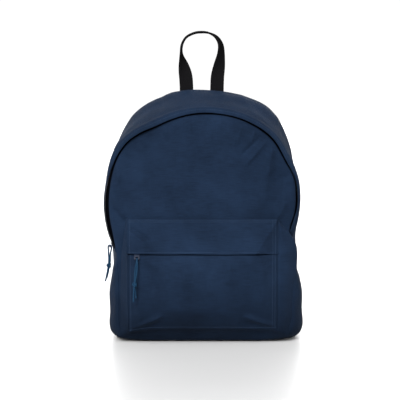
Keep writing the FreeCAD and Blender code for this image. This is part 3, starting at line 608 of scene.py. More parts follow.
def top_gusset():
    """The arched band, turned over the zip as a flap."""
    angle = np.linspace(*GUSSET_ENDS, 420)[:, None]
    rear = np.array([BACK_SEAM, 61.4, 60.5, 59, 57, 54, 50, 45, 40, 34, 27, 20, 13, 6, -1, -8,
                     -15, -22, -28, -33, -37, -39.5, RIDGE_Y])[None, :]
    radius = top_radius(angle, rear)
    body = place(radius, angle, rear + 0 * angle)
    share = np.array([0.03, 0.07, 0.14, 0.25, 0.38, 0.52, 0.66, 0.8, 0.92, 1.0])[None, :]
    start, end = RIDGE(angle) - 0.5, EDGE(angle)
    end_y = EDGE_Y(angle)
    flap_y = RIDGE_Y + (end_y - RIDGE_Y) * share
    bow = np.sin(np.pi * share) * 0.16 * np.abs(end_y - RIDGE_Y)
    flap = place(start + (end - start) * share ** 1.7 + bow, angle, flap_y)
    points = np.concatenate([body, flap], 1)
    x, z, y = points[..., 0] / MM, points[..., 2] / MM, points[..., 1] / MM
    inside = smooth_step(BACK_SEAM - y, 0, 14) * smooth_step(y, RIDGE_Y, -20)
    side = np.degrees(np.arctan2(z - ZIP_CENTRE, x))
    height = inside * (1.1 * ripple(x + side * 0.6, y * 1.3, 70, 3) + folds(x, z, TOP_CREASES))
    hem = np.exp(-((y + 43.5) / 1.6) ** 2) * smooth_step(-end_y, 48, 56)
    scallop = smooth_step(-y, 46, 60) * ripple(angle * 2.6, 0 * y, 40, 5)
    points = push(points, 0.7 * hem - 0.5 * scallop - height)
    points[..., 2] = np.maximum(points[..., 2], 0.0002)
    piece = cloth_sheet("gusset_top_cloth", points, SHELL, flip=True)
    belongs(piece, "shell_cloth", "bag", "top_gusset")
    above_zip = slice(62, 385)
    outward = -normals_of(points)
    ridge, hem_line = body.shape[1] - 1, points.shape[1] - 3
    seam = stitches(points[above_zip, ridge], outward[above_zip, ridge], pitch=3.0)
    seam += stitches(points[above_zip, hem_line], outward[above_zip, hem_line], pitch=3.0, lift=0.0)
    thread = join_meshes("gusset_stitches", seam, THREAD)
    belongs(thread, "shell_cloth", "bag")
    back_piping("back_seam_top", points, outward)


BASE_CREASES = [(-150, 120, -149, 40, 6, 0.6), (-140, 100, -143, 30, 5, -1.2),
                (150, 120, 158, 50, 8, 1.4), (146, 70, 150, 20, 6, -1.2),
                (-128, 3, -100, 1, 6, 0.6), (128, 3, 100, 1, 6, 0.6)]


def base_gusset():
    """One strip of cloth that makes the lower sides and the base."""
    angle = np.linspace(GUSSET_ENDS[0] + 0.8, GUSSET_ENDS[1] - 360.8, 460)[:, None]
    step = np.linspace(0, 90, 16)[1:]
    front_y = MIDDLE + (BASE_SEAM - MIDDLE) * np.sin(np.radians(step))
    rear_y = [BACK_SEAM, 61.4, 60.5, 59, 57, 54, 50, 44, 36, 26, 16, 6, -3, MIDDLE]
    y = np.concatenate([rear_y, front_y])[None, :]
    tucked = 1 - smooth_step(GUSSET_ENDS[0] + 90 - np.abs(angle + 90), -0.5, 0.2)
    radius = base_radius(angle, y) - 0.5 * tucked
    points = place(radius, angle, y + 0 * angle)
    x, z = points[..., 0] / MM, points[..., 2] / MM
    inside = smooth_step(BACK_SEAM - y, 0, 14) * smooth_step(y, BASE_SEAM, -44)
    lifted = smooth_step(z, 3, 26)
    rise = 1.3 * ripple(z * 1.1, y * 0.9, 75, 11) + folds(x, z, BASE_CREASES)
    points = push(points, inside * rise * (0.15 + 0.85 * lifted))
    points[..., 2] = np.maximum(points[..., 2], 0.0003)
    piece = cloth_sheet("gusset_base_cloth", points, SHELL)
    belongs(piece, "shell_cloth", "bag", "base_gusset")
    back_piping("back_seam_base", points, normals_of(points))


# ---------------------------------------------------------------- front panel

PANEL_FOLDS = [
    (104, 322, 70, 282, 3.2, 1.7), (97, 330, 64, 298, 2.8, -1.3), (64, 345, 54, 312, 3.2, 1.2),
    (112, 312, 105, 262, 5.0, 1.6), (106, 290, 100, 220, 7.5, 1.6),
    (122, 300, 117, 246, 8.5, -1.5), (127, 272, 117, 214, 10.0, -1.5),
    (120, 196, 133, 224, 5.0, 2.0), (85, 339, 78, 316, 2.6, 1.0), (132, 262, 130, 222, 5.0, 1.2),
    (-136, 286, -130, 252, 4.0, 1.7), (-143, 236, -122, 199, 6.0, 2.0),
    (-140, 214, -118, 188, 5.0, -1.4), (-99, 336, -86, 310, 4.5, 0.9),
    (-62, 352, -54, 326, 5.0, 0.9), (-20, 358, -18, 334, 5.0, 0.7), (24, 358, 26, 338, 5.0, 0.6),
    (-90, 262, -20, 212, 22.0, -1.0), (10, 330, 60, 232, 26.0, 1.0), (-60, 320, -70, 240, 24, 0.8)]
FOLD_GAIN = 1.7


def panel_dome(x, z):
    """y of the front panel before its edge is rolled under."""
    reach = np.hypot(x, z - ZIP_CENTRE) / 150.0
    dome = 3.2 * (1 - np.clip(reach, 0, 1) ** 3)
    return -58.3 - dome - 0.9 * ripple(x, z, 90, 21)


def front_panel():
    """The front panel, with its sewn edge along the zip and down to the base."""
    _, angle, radius, x, z = disc(SEAM_FRONT, 200)
    inset = SEAM_FRONT(angle) - radius
    roll = np.exp(-inset / 3.5)
    taper = smooth_step(inset, 0, 12)
    gathers = ripple(angle * 2.6, inset * 0.2, 16, 8) * np.exp(-inset / 16)
    gathers *= smooth_step(z, 215, 260)
    y = panel_dome(x, z) * (1 - roll) - 56.6 * roll
    y = y - taper * FOLD_GAIN * folds(x, z, PANEL_FOLDS) - 1.3 * gathers * taper
    points = np.stack([x, y, z], -1) * MM
    piece = cloth_sheet("front_panel_cloth", points, SHELL)
    on_door(piece, "shell_cloth", "upper_front_panel", "lower_front_panel")


def on_door(piece, slot, *nodes):
    """A piece on the front panel, fixed in place, with the CAD nodes that it stands for hidden."""
    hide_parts(*nodes)
    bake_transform(piece)


# ---------------------------------------------------------------- main zip

def zip_tapes():
    """Both halves of the tape; the front half carries on to the front panel's seam."""
    angle = np.linspace(-26.0, 206.0, 460)[:, None]
    base = TAPE_AT(angle)
    y = np.array([-36.0, -38.0, -40, -42, -44.6])[None, :]
    rear = cloth_sheet("zip_tape_rear_half", place(base + 0 * y, angle, y + 0 * angle), TAPE,
                       thick=0.8, flip=True)
    belongs(rear, "zip_tape", "bag", "zip_tape_rear")
    share = np.linspace(0, 1, 7)[None, :]
    seam = SEAM_FRONT(angle) - 0.6
    flat_y = np.array([-45.4, -47, -49, -50.5])[None, :]
    slope = base + (seam - base) * share[:, 1:] ** 1.2
    slope_y = -50.5 + (-56.9 + 50.5) * share[:, 1:] + 0 * angle
    points = np.concatenate([place(base + 0 * flat_y, angle, flat_y + 0 * angle),
                             place(slope, angle, slope_y)], 1)
    front = cloth_sheet("zip_tape_front_half", points, TAPE, thick=0.8, flip=True)
    on_door(front, "zip_tape", "zip_tape_front", "left_zip_tape_end", "right_zip_tape_end",
            "upper_rim", "left_rim_end", "right_rim_end")


def zip_teeth(name, centres, outward, along, across, reach, material):
    """Coil loops: a rounded rib per turn, from the tape's edge to the middle."""
    parts = []
    for centre, out, way, side in zip(centres, outward, along, across):
        points = []
        for s, (low, high, half) in ((0.0, (0.25, 1.35, 0.28)), (0.35, (0.1, 2.0, 0.40)),
                                     (0.75, (0.1, 2.0, 0.40)), (1.0, (0.2, 1.5, 0.30))):
            base = centre + side * (reach * s) * MM
            for h, w in ((low, -half), (high * 0.75, -half), (high, 0.0), (high * 0.75, half),
                         (low, half)):
                points.append(base + (out * h + way * w) * MM)
        faces = [(r * 5 + j, r * 5 + (j + 1) % 5, (r + 1) * 5 + (j + 1) % 5, (r + 1) * 5 + j)
                 for r in range(3) for j in range(5)]
        faces += [(4, 3, 2, 1, 0), (15, 16, 17, 18, 19)]
        parts.append((np.array(points), faces))
    return join_meshes(name, parts, material)


def main_teeth():
    """The two coils; their loops lie between each other along the closed zip."""
    pitch = math.degrees(1.5 / 152.5)
    for name, offset, side, mid in (("zip_coil_rear_half", 0.0, 1.0, -45.5),
                                    ("zip_coil_front_half", 0.5, -1.0, -44.5)):
        angle = np.arange(-25.6 + offset * pitch, 205.7, pitch)
        centre = place(TAPE_AT(angle), angle, np.full(len(angle), mid))
        outward = place(np.ones(len(angle)), angle, 0.0) / MM - (0, 0, ZIP_CENTRE)
        way = np.cross(outward, (0, 1, 0))
        across = np.tile((0.0, side, 0.0), (len(angle), 1))
        coil = zip_teeth(name, centre, outward, way, across, 3.6, COIL)
        if side > 0:
            belongs(coil, "zip_coil", "bag", "zip_coil_rear")
        else:
            on_door(coil, "zip_coil", "zip_coil_front", "left_zip_coil_end",
                    "right_zip_coil_end")


# ---------------------------------------------------------------- pocket

LIP = 142.4
BOTTOM_SEAM = curve([(-115, 18.1), (-102, 20.6), (-86, 23), (-62, 24.4), (0, 24.7), (60, 24.4),
                     (90, 23.6), (120, 22.4)])
OUT_LIP = curve([(-116, 24), (-110, 26.8), (-102, 28.8), (-85, 30), (-50, 30.6), (0, 31),
                 (60, 30.8), (84, 29.6), (100, 24.6), (112, 19.6), (120, 16)])
OUT_MIDDLE = curve([(-116, 22.5), (-108, 27), (-95, 31.5), (-75, 35.5), (0, 39.5), (60, 37),
                    (95, 29.5), (110, 23), (120, 17.5)])
OUT_BOTTOM = curve([(-116, 12), (-100, 16), (-75, 18.5), (0, 20), (60, 19), (88, 17),
                    (120, 12)])
LEFT, RIGHT = -115.5, 120.0
POCKET_FOLDS = [(-60, 141, -55, 96, 6, 0.9), (-22, 141, -24, 92, 7, 0.9),
                (14, 141, 10, 88, 7, -0.9), (46, 141, 42, 96, 6, 1.0),
                (72, 141, 76, 100, 6, -0.9), (96, 138, 98, 60, 8, 0.8),
                (70, 44, 121, 22, 4.2, 3.0), (60, 32, 108, 19, 5, -2.0),
                (-116, 17, -62, 46, 4.5, 3.0), (-104, 14, -64, 32, 5.5, -2.0),
                (-86, 134, -70, 84, 11, -1.6), (-100, 70, -96, 34, 7, 1.0),
                (20, 60, 90, 48, 12, -1.0), (-60, 58, 10, 50, 12, 0.8)]


def pocket_out(x, z):
    """How far the pocket's front stands in front of its plane."""
    low = BOTTOM_SEAM(x)
    t = np.clip((z - low) / (LIP - low), 0, 1)
    return (OUT_BOTTOM(x) * (1 - t) * (1 - 2 * t) + OUT_MIDDLE(x) * 4 * t * (1 - t)
            + OUT_LIP(x) * t * (2 * t - 1))


def pocket_front():
    """The front below the slit."""
    s = np.linspace(0, 1, 170)[None, :]
    t = np.linspace(0, 1, 100)[:, None]
    x = LEFT + (RIGHT - LEFT) * s + 0 * t
    low = BOTTOM_SEAM(x)
    z = low + (LIP - 0.9 - low) * t
    inset = np.minimum(np.minimum(x - LEFT, RIGHT - x), z - low)
    roll = 1 - np.exp(-inset / 2.2)
    inner = smooth_step(inset, 0, 14)
    slider_room = 1 - 0.75 * smooth_step(z, 118, 130)
    out = pocket_out(x, z) - 1.6 * (1 - roll)
    out += (3.4 * np.exp(-((z - 54) / 17) ** 2) * smooth_step(x, -98, -45)
            * (1 - smooth_step(x, 60, 108)))
    out += inner * slider_room * (2.4 * folds(x, z, POCKET_FOLDS) + 1.0 * ripple(x, z, 60, 31))
    hem = np.exp(-((LIP - z) / 2.2) ** 2) * (1 - smooth_step(x, 92, 106))
    out -= 1.3 * hem
    points = np.stack([x, POCKET_PLANE - out, z], -1) * MM
    piece = cloth_sheet("pocket_front_cloth", points, SHELL, thick=1.1)
    belongs(piece, "shell_cloth", "bag", "pocket_front")
    return points


BAND_FOLDS = [(-116, 185, -82, 163, 3.6, -2.2), (-112, 178, -84, 156, 4.0, 1.6),
              (-112, 158, -80, 148, 4.0, 0.9), (-40, 190, 30, 186, 10, 0.6),
              (40, 160, 70, 150, 9, -0.8)]


def pocket_band():
    """The band over the pocket's zip, from its top seam to the slit."""
    s = np.linspace(0, 1, 170)[None, :]
    t = np.linspace(0, 1, 60)[:, None]
    left, right, top = -117.2, 120.6, 197.6
    x = left + (right - left) * s + 0 * t
    low = LIP + 0.4 - 1.5 * smooth_step(x, 96, 120) + 0.35 * ripple(x, 0 * x, 60, 41)
    z = low + (top - low) * t
    fall = 1 - np.clip((z - low) / (top - low), 0, 1)
    seam_out, slope_from = 2.6, 60.0
    flat = seam_out + (OUT_LIP(np.minimum(x, slope_from)) + 1.9 - seam_out) * fall ** 0.92
    side_out = seam_out + (17.5 - seam_out) * fall
    diagonal = 84 + (z - 142) * (36 / 52)
    level = seam_out + (OUT_LIP(slope_from) + 1.9 - seam_out) * fall ** 0.92
    share = np.clip((x - diagonal) / np.maximum(121 - diagonal, 0.5), 0, 1)
    facet = level + (side_out - level) * share
    out = np.where(x > diagonal, facet, flat)
    crease = np.exp(-np.abs(x - diagonal) / 3.0) * smooth_step(z, 140, 160) * 0.9
    inset = np.minimum(x - left, right - x)
    roll = 1.4 * np.exp(-inset / 2.2)
    inner = smooth_step(inset, 0, 12) * smooth_step(top - z, 0, 8)
    out += inner * (1.8 * folds(x, z, BAND_FOLDS) + 0.8 * ripple(x, z, 70, 43)) + crease - roll
    hem = np.exp(-((z - low) / 1.2) ** 2)
    out -= 0.5 * hem
    top_roll = np.exp(-(top - z) / 1.3)
    dome = POCKET_PLANE - panel_dome(x, np.full_like(x, top))
    out = out + (dome - 0.8) * (1 - fall) + 0.9 * top_roll
    points = np.stack([x, POCKET_PLANE - out, z], -1) * MM
    piece = cloth_sheet("pocket_band_cloth", points, SHELL, thick=1.1)
    belongs(piece, "shell_cloth", "bag", "pocket_band")
    return points


FLARE_OUT = curve([(0, 121), (8, 127), (13, 131.5), (22, 139.6), (34, 147), (41, 150.4),
                   (50, 152), (62, 152.4), (80, 152), (110, 151.5), (140, 151), (165, 149),
                   (190, 145)])


def pocket_gusset():
    """The pocket's sides and base, from its front edge back to the bag."""
    inner, outer = [], []
    for z in np.linspace(196.4, 24, 70):
        edge = (float(pocket_out(LEFT, z)) if z < LIP else
                np.interp(z, (LIP, 196.4), (24, 2.4))) - 0.3
        inner.append((-116.2 if z > 60 else -115.6, POCKET_PLANE - edge, z))
        outer.append((np.interp(z, (8, 30, 60, 110, 150, 196.4),
                                (-135.5, -134.5, -133.5, -131, -127.5, -120.4)),
                      np.interp(z, (8, 60, 110, 150, 196), (-50, -50, -52, -56, -58.6)),
                      z if z > 40 else z - (40 - z) * 0.35))
    for x in np.linspace(-114.6, 119.2, 90):
        inner.append((x, POCKET_PLANE - float(OUT_BOTTOM(x)) + 1.0, float(BOTTOM_SEAM(x)) - 0.2))
        spread = np.interp(x, (-114.6, -60, 0, 60, 119.2), (-133, -66, 0, 66, 138.5))
        outer.append((spread, -57.0, np.interp(abs(spread), (0, 110, 140), (5.0, 5.6, 8.4))))
    for z in np.linspace(25, 195.4, 80):
        edge = (float(pocket_out(RIGHT, z)) if z < LIP else
                np.interp(z, (LIP, 195.4), (16.4, 2.6)))
        inner.append((120.3, POCKET_PLANE - edge + 0.4, z))
        down = 196.4 - z
        depth = np.interp(z, (22, 60, 130, 160, 196), (-52, -48.5, -50.5, -57, -60.4))
        outer.append((float(FLARE_OUT(down)) if z > 40 else
                      np.interp(z, (8, 25, 40), (139, 145.5, float(FLARE_OUT(156)))), depth, z))
    inner, outer = np.array(inner), np.array(outer)
    share = np.linspace(0, 1, 22)[None, :, None]
    points = inner[:, None] * (1 - share) + outer[:, None] * share
    count = len(inner)
    part = np.arange(count)
    right = smooth_step(part, 150, 172)[:, None]
    base = (smooth_step(part, 66, 76) * (1 - smooth_step(part, 150, 162)))[:, None]
    swell = np.sin(np.pi * share[..., 0] ** 0.8)
    points[..., 1] += swell * (3.6 * base - 1.2 - 3.4 * right)
    points[..., 2] += swell * base * 0.8
    length = np.linspace(0, 520, count)[:, None]
    wave = 0.6 * ripple(length, share[..., 0] * 25, 45, 51) * np.sin(np.pi * share[..., 0])
    points[..., 1] -= wave
    points *= MM
    points[..., 2] = np.maximum(points[..., 2], 0.0006)
    piece = cloth_sheet("pocket_gusset_cloth", points, SHELL, thick=1.1)
    belongs(piece, "shell_cloth", "bag", "pocket_gusset")
    return points


def pocket_seams(front, strip_at):
    """Raised seam edges and their stitches round the pocket."""
    out = np.array([0, -1.0, 0])
    seams = []
    for path in (front[:, 0], front[:, -1], front[0],
                 strip_at[:, 0], strip_at[:, -1], strip_at[-1]):
        seams.append(tube_parts(resample(path, 0.003), out, 0.9 * MM, 0.8 * MM, 8))
    piece = join_meshes("pocket_seam_edges", seams, SHELL)
    belongs(piece, "shell_cloth", "bag")
    rows = []
    face, strip = facing(front, -1), facing(strip_at, -1)
    for points, normal in ((front, face), (strip_at, strip)):
        for column in (3, -4, -7):
            rows += stitches(points[2:-1, column], normal[2:-1, column])
    rows += stitches(front[2, 2:-2], face[2, 2:-2])
    for row in (-4, -7):
        rows += stitches(strip_at[row, 2:-2], strip[row, 2:-2])
    rows += stitches(strip_at[3, 2:-22], strip[3, 2:-22], lift=0.0)
    thread = join_meshes("pocket_stitches", rows, THREAD)
    belongs(thread, "shell_cloth", "bag")


def pocket_zip():
    """Tape and coils behind the slit."""
    x = np.linspace(-107, 90, 120)[None, :]
    for name, low, high in (("upper", 134.6, 147.0), ("lower", 125.5, 133.4)):
        z = np.linspace(low, high, 8)[:, None]
        y = -84.4 + 0.2 * np.sin(x / 9) + 0 * z
        tape = cloth_sheet(f"pocket_tape_{name}", np.stack([x + 0 * z, y, z + 0 * x], -1) * MM,
                           TAPE, thick=0.8)
        belongs(tape, "zip_tape", "bag", f"pocket_zip_tape_{name}")
    places = np.arange(-106, 89, 1.5)
    for name, shift, side, mid in (("upper", 0, 1.0, 133.5), ("lower", 0.75, -1.0, 134.5)):
        count = len(places)
        centre = np.stack([places + shift, np.full(count, -84.3), np.full(count, mid)], -1) * MM
        coil = zip_teeth(f"pocket_coil_{name}", centre, np.tile((0.0, -1.0, 0.0), (count, 1)),
                         np.tile((1.0, 0.0, 0.0), (count, 1)),
                         np.tile((0.0, 0.0, side), (count, 1)), 3.6, COIL)
        belongs(coil, "zip_coil", "bag", f"pocket_zip_coil_{name}")


# ---------------------------------------------------------------- webbing, handle and cords

def band(name, centres, across, out, wide, thick, material):
    """Webbing with rounded edges along a path; all in millimetres."""
    half = [(-1, 0), (-0.985, 0.7), (-0.95, 1), (-0.6, 1), (-0.2, 1), (0.2, 1), (0.6, 1),
            (0.95, 1), (0.985, 0.7), (1, 0)]
    outline = np.array(half + [(-a, -b) for a, b in half[1:]])
    wide = np.broadcast_to(np.asarray(wide, float), len(centres))[:, None, None] / 2
    thick = np.broadcast_to(np.asarray(thick, float), len(centres))[:, None, None] / 2
    points = (centres[:, None] + across[:, None] * outline[None, :, :1] * wide
              + out[:, None] * outline[None, :, 1:] * thick)
    thing = weld(add(name, sheet_mesh(name, points * MM)), 1e-6, close=True)
    thing.data.materials.append(material)
    return thing


def through(stations, count):
    """Smooth columns through rows of numbers."""
    rows = np.array(stations, float)
    steps = np.linspace(0, len(rows) - 1, count)
    return np.stack([curve(list(zip(range(len(rows)), rows[:, k])))(steps)
                     for k in range(rows.shape[1])], -1)


def haul_loop():
    """The handle: webbing that stands up and turns so that its edge shows at the top."""
    path = through([(-24.6, -3, 0), (-24.8, 8, 1), (-26, 24, 10), (-29.6, 43, 46), (-33, 60, 80),
                    (-32.2, 75, 88), (-25.2, 87.6, 90), (-12, 94.6, 90), (1, 96.2, 90),
                    (13, 94.6, 93), (24.6, 88, 100), (31.4, 76.5, 108), (32.4, 62, 120),
                    (29.8, 43, 145), (26.6, 24, 170), (25.8, 8, 179), (25.6, -3, 180)], 150)
    centres = np.stack([path[:, 0], np.full(len(path), 55.0), 400.4 + path[:, 1]], -1)
    tangent = frames_along(centres)
    across = np.stack([tangent[:, 2], 0 * path[:, 0], -tangent[:, 0]], -1)
    turn = np.radians(path[:, 2])[:, None]
    width = across * np.cos(turn) + np.array([0, 1.0, 0]) * np.sin(turn)
    thick = 1.8 + 1.5 * smooth_step(path[:, 1], 50, 80)
    loop = band("haul_loop_webbing", centres, width, np.cross(tangent, width), 22.4, thick,
                WEBBING)
    belongs(loop, "webbing", "haul_handle", "haul_loop")


PULL_OUTER = [(-2.6, -2.6, 0), (-2.6, 2.6, 0), (2.6, 2.6, 0), (2.2, -5.5, 0.1), (1.5, -14.5, 0.3),
              (1.6, -25, 0.3), (2.6, -33, 0), (4.6, -44, -0.6), (6.9, -55.4, -1)]
PULL_INNER = [(-2.6, -2.6, 0), (-2.2, -5.8, 0), (-1.0, -10.5, -0.2), (-0.7, -18, -0.4),
              (-0.6, -26, -0.4), (1.2, -33, 0.9), (2.8, -41, 1.3), (5.0, -50, 1.5)]
PULL_KNOT = (1.6, -29.5, 0)
POCKET_OUTER = [(-2.6, -2.6, 0), (-2.6, 2.6, 0.3), (2.6, 2.6, 0.6), (4.0, -5.5, 1.1),
                (6.2, -15.0, 0.9), (7.2, -28.0, -1.2), (7.3, -40.0, -3.4), (8.7, -51.0, -4.4),
                (8.3, -64.0, -4.8)]
POCKET_INNER = [(-2.6, -2.6, 0), (-2.6, -5.8, -0.5), (-0.9, -11.0, -1.7), (1.6, -20.0, -2.7),
                (4.2, -32.0, -3.2), (4.6, -41.0, -3.0), (4.9, -50.0, -2.0), (4.3, -59.0, -0.8)]
POCKET_KNOT = (5.9, -37.0, -3.1)


def pull(name, bar, outward, aside, outer, inner, knot_at, lengths):
    """A cord looped over a slider's bar, tied in a knot, with two free tails."""
    bar = np.array(bar)
    ways = np.array([outward, (0, 0, 1), aside], float)

    def at(point):
        return (bar + np.array(point) @ ways) * MM

    t = np.linspace(0, 2 * math.pi, 73)
    knot_path = np.stack([1.0 * (np.cos(t) - 2 * np.cos(2 * t)) + 0.3, -1.3 * np.sin(3 * t),
                          1.25 * (np.sin(t) + 2 * np.sin(2 * t))], -1) * MM
    knot = join_meshes(f"{name}_pull_tied_knot",
                       [tube_parts(at(knot_at) + knot_path, np.array([0, 1.0, 0]), 1.3 * MM,
                                   1.3 * MM, 12)], CORD)
    belongs(knot, "cord", f"{name}_zip_pull", f"{name}_pull_knot")
    for part, route, length in (("outer", outer, lengths[0]), ("inner", inner, lengths[1])):
        line = bpy.data.curves.new(f"{name}_pull_{part}", "CURVE")
        line.dimensions = "3D"
        line.bevel_depth = 1.25 * MM
        line.bevel_resolution = 4
        line.use_fill_caps = True
        line.resolution_u = 12
        spline = line.splines.new("NURBS")
        spline.points.add(len(route) - 1)
        for point, step in zip(spline.points, route):
            point.co = (*at(step), 1)
        spline.order_u = 3
        spline.use_endpoint_u = True
        line.materials.append(CORD)
        strand = add(f"{name}_pull_{part}", line)
        belongs(strand, "cord", f"{name}_zip_pull", f"{name}_pull_strand_{part}")


def slider_tab():
    """The pocket slider's tab: a bent plate that comes out of the slit, with an eye."""
    flat = bpy.data.curves.new("tab_outline", "CURVE")
    flat.dimensions = "2D"
    flat.fill_mode = "BOTH"
    flat.extrude = 0.35 * MM
    flat.bevel_depth = 0.3 * MM
    flat.bevel_resolution = 2
    turn = np.linspace(0, 2 * math.pi, 41)[:-1]
    eye = np.stack([2.5 * np.sign(np.cos(turn)) * np.abs(np.cos(turn)) ** 0.7,
                    9.6 + 1.75 * np.sin(turn)], -1)
    down = np.linspace(0, math.pi, 21)
    foot = np.stack([4.1 * np.cos(down), 10.6 + 1.9 * np.sin(down) ** 0.7], -1)
    side = np.linspace(0.2, 10.2, 26)
    outline = np.concatenate([np.stack([4.1 - 0.3 * np.sin(side / 10 * math.pi), side], -1), foot,
                              np.stack([-4.1 + 0.3 * np.sin(side / 10 * math.pi), side], -1)[::-1]])
    for ring_points in (outline, eye):
        spline = flat.splines.new("POLY")
        spline.points.add(len(ring_points) - 1)
        for point, (u, w) in zip(spline.points, ring_points):
            point.co = (u * MM, w * MM, 0, 1)
        spline.use_cyclic_u = True
    drawn = add("tab_drawn", flat)
    graph = bpy.context.evaluated_depsgraph_get()
    mesh = bpy.data.meshes.new_from_object(drawn.evaluated_get(graph))
    bpy.data.objects.remove(drawn)
    path = through([(-84.8, 145.2), (-86.6, 142.9), (-89.0, 140.8), (-90.8, 138), (-91.7, 135.4),
                    (-92.1, 132.6)], 60)
    reach = np.concatenate([[0], np.cumsum(np.linalg.norm(np.diff(path, axis=0), axis=1))])
    tab = add("pocket_slider_tab", mesh)
    at = coordinates(tab) / MM
    across, w, thick = at.T
    w = np.clip(w, 0, reach[-1])
    way = frames_along(path)
    y, z, way_y, way_z = (np.interp(w, reach, column) for column in (*path.T, *way.T))
    settle(tab, np.stack([-101.2 + across, y + way_z * thick, z - way_y * thick], -1) * MM)
    shade(mesh)
    mesh.materials.clear()
    mesh.materials.append(METAL)
    weld(tab, 2e-5)
    belongs(tab, "slider_metal", "pocket_zip_slider", "pocket_slider")


def kept(node, material, bevel=0.3):
    """A CAD node that keeps its shape, with rounded edges and its own finish."""
    thing = bpy.data.objects[node]
    thing.data.materials.clear()
    thing.data.materials.append(material)
    edge = thing.modifiers.new("rounding", "BEVEL")
    edge.width = bevel * MM
    edge.segments = 3
    edge.limit_method = "ANGLE"
    edge.angle_limit = math.radians(40)


# ---------------------------------------------------------------- pads

def puffed(thing, voxel, pressure, limit):
    """Swell a closed pad with air pressure; each point moves at most limit millimetres."""
    even = thing.modifiers.new("even", "REMESH")
    even.mode = "VOXEL"
    even.voxel_size = voxel * MM
    bake(thing)
    mesh = thing.data
    before = np.array([v.co for v in mesh.vertices])
    cloth = thing.modifiers.new("cloth", "CLOTH")
    cloth.settings.use_pressure = True
    cloth.settings.uniform_pressure_force = pressure
    cloth.settings.effector_weights.gravity = 0
    cloth.settings.quality = 6
    cloth.point_cache.frame_start = 1
    cloth.point_cache.frame_end = 20
    for step in range(1, 21):
        scene.frame_set(step)
    bake(thing)
    scene.frame_set(1)
    mesh = thing.data
    after = np.array([v.co for v in mesh.vertices])
    move = after - before
    far = np.linalg.norm(move, axis=1, keepdims=True)
    move *= np.minimum(1, limit * MM / np.maximum(far, 1e-9))
    mesh.vertices.foreach_set("co", (before + move).astype(np.float32).ravel())
    soft = thing.modifiers.new("soft", "SMOOTH")
    soft.factor = 0.6
    soft.iterations = 3
    finer = thing.modifiers.new("finer", "SUBSURF")
    finer.levels = 1
    finer.render_levels = 1
    bake(thing)
    shade(thing.data)
    return thing


def face_uvs(thing):
    """UVs in metres straight along Y, made after the remesh."""
    mesh = thing.data
    layer = mesh.uv_layers.new(name="UVMap")
    corners = np.empty(len(mesh.loops), np.int32)
    mesh.loops.foreach_get("vertex_index", corners)
    at = coordinates(thing)
    depth = np.where(np.abs(at[:, 0]) > 0, at[:, 1], 0)
    uv = np.stack([at[:, 0] + 0.15 * depth, at[:, 2] + 0.15 * depth], -1)[corners]
    layer.data.foreach_set("uv", uv.astype(np.float32).ravel())


def lining_faces(thing, material, way):
    """Give the faces that look along a direction another material."""
    thing.data.materials.append(material)
    for face in thing.data.polygons:
        if face.normal.dot(way) > 0.35:
            face.material_index = 1


def cast_on(thing, path, direction):
    """Points of a path dropped on a piece along a direction, and the normals there."""
    graph = bpy.context.evaluated_depsgraph_get()
    tree = BVHTree.FromObject(thing, graph)
    way = Vector(direction)
    spots, normals = [], []
    for point in path:
        hit, normal, _, _ = tree.ray_cast(Vector(point) - way * 0.05, way)
        if hit is not None:
            spots.append(hit)
            normals.append(normal if normal.dot(way) < 0 else -normal)
    return np.array(spots), np.array(normals)


BACK_LINES = [[(0, 318), (0, 96)],
              [(-104, 300), (-60, 318), (60, 318), (104, 300)],
              [(-118, 96), (118, 96)],
              [(-104, 300), (-116, 200), (-118, 96), (-112, 40), (0, 34), (112, 40), (118, 96),
               (116, 200), (104, 300)]]


def back_pad():
    """The padded back: a soft closed form, then its sewn channels."""
    def pad_edge(angle):
        return MID(angle) - 5.0

    def lining_edge(angle):
        return MID(angle) - 6.5

    share, _, _, x, z = disc(pad_edge, 90)
    bulge = 3.2 * np.sqrt(np.clip(1 - share ** 12, 0, 1))
    fore, rear = (np.stack([x, 57.9 + way * bulge, z], -1) * MM for way in (-1, 1))
    parts = [(grid.reshape(-1, 3), grid_quads(grid, flip).tolist())
             for grid, flip in ((fore, False), (rear, True))]
    pad = weld(join_meshes("back_pad", parts, SHELL), 2e-4)
    puffed(pad, 4.5, 3.0, 3.2)
    at = coordinates(pad)
    x, y, z = at.T / MM
    press = np.zeros(len(at))
    for line in BACK_LINES:
        for (x0, z0), (x1, z1) in zip(line, line[1:]):
            dx, dz = x1 - x0, z1 - z0
            along = np.clip(((x - x0) * dx + (z - z0) * dz) / (dx * dx + dz * dz), 0, 1)
            off = np.hypot(x - x0 - along * dx, z - z0 - along * dz)
            press = np.maximum(press, np.exp(-(off / 4.2) ** 2))
    rear_side = smooth_step(y, 57.5, 60)
    puff = 1.5 * (1 - press) * smooth_step(352 - z, 0, 24)
    reach = np.hypot(x, z - ZIP_CENTRE)
    turned = (np.degrees(np.arctan2(z - ZIP_CENTRE, x)) + 90) % 360 - 90
    puff *= smooth_step(MID(turned) - reach, 8, 30)
    at[:, 1] += rear_side * (puff - 2.6 * press) * MM
    at[:, 1] = np.maximum(at[:, 1], 0.0546)
    settle(pad, at)
    face_uvs(pad)
    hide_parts("back_panel", "back_foam")
    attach(pad, "bag")
    rows = []
    for line in BACK_LINES:
        path = resample(np.array([(px, 90, pz) for px, pz in line]) * MM, 0.003)
        spots, normals = cast_on(pad, path, (0, -1, 0))
        rows += stitches(spots, normals, pitch=3.4)
    thread = join_meshes("back_stitches", rows, THREAD)
    belongs(thread, "shell_cloth", "bag")
    _, _, _, x, z = disc(lining_edge, 80)
    y = 53.9 + 0.25 * ripple(x, z, 60, 71)
    lining = cloth_sheet("back_lining_cloth", np.stack([x, y, z], -1) * MM, SHELL_INSIDE, thick=0.5)
    belongs(lining, "shell_cloth", "bag", "back_lining")


# Height of the straps' top ends, how far they stand from the middle and the degrees they lean.
STRAP_TOP, STRAP_X, STRAP_LEAN = 380, 45, 7.0
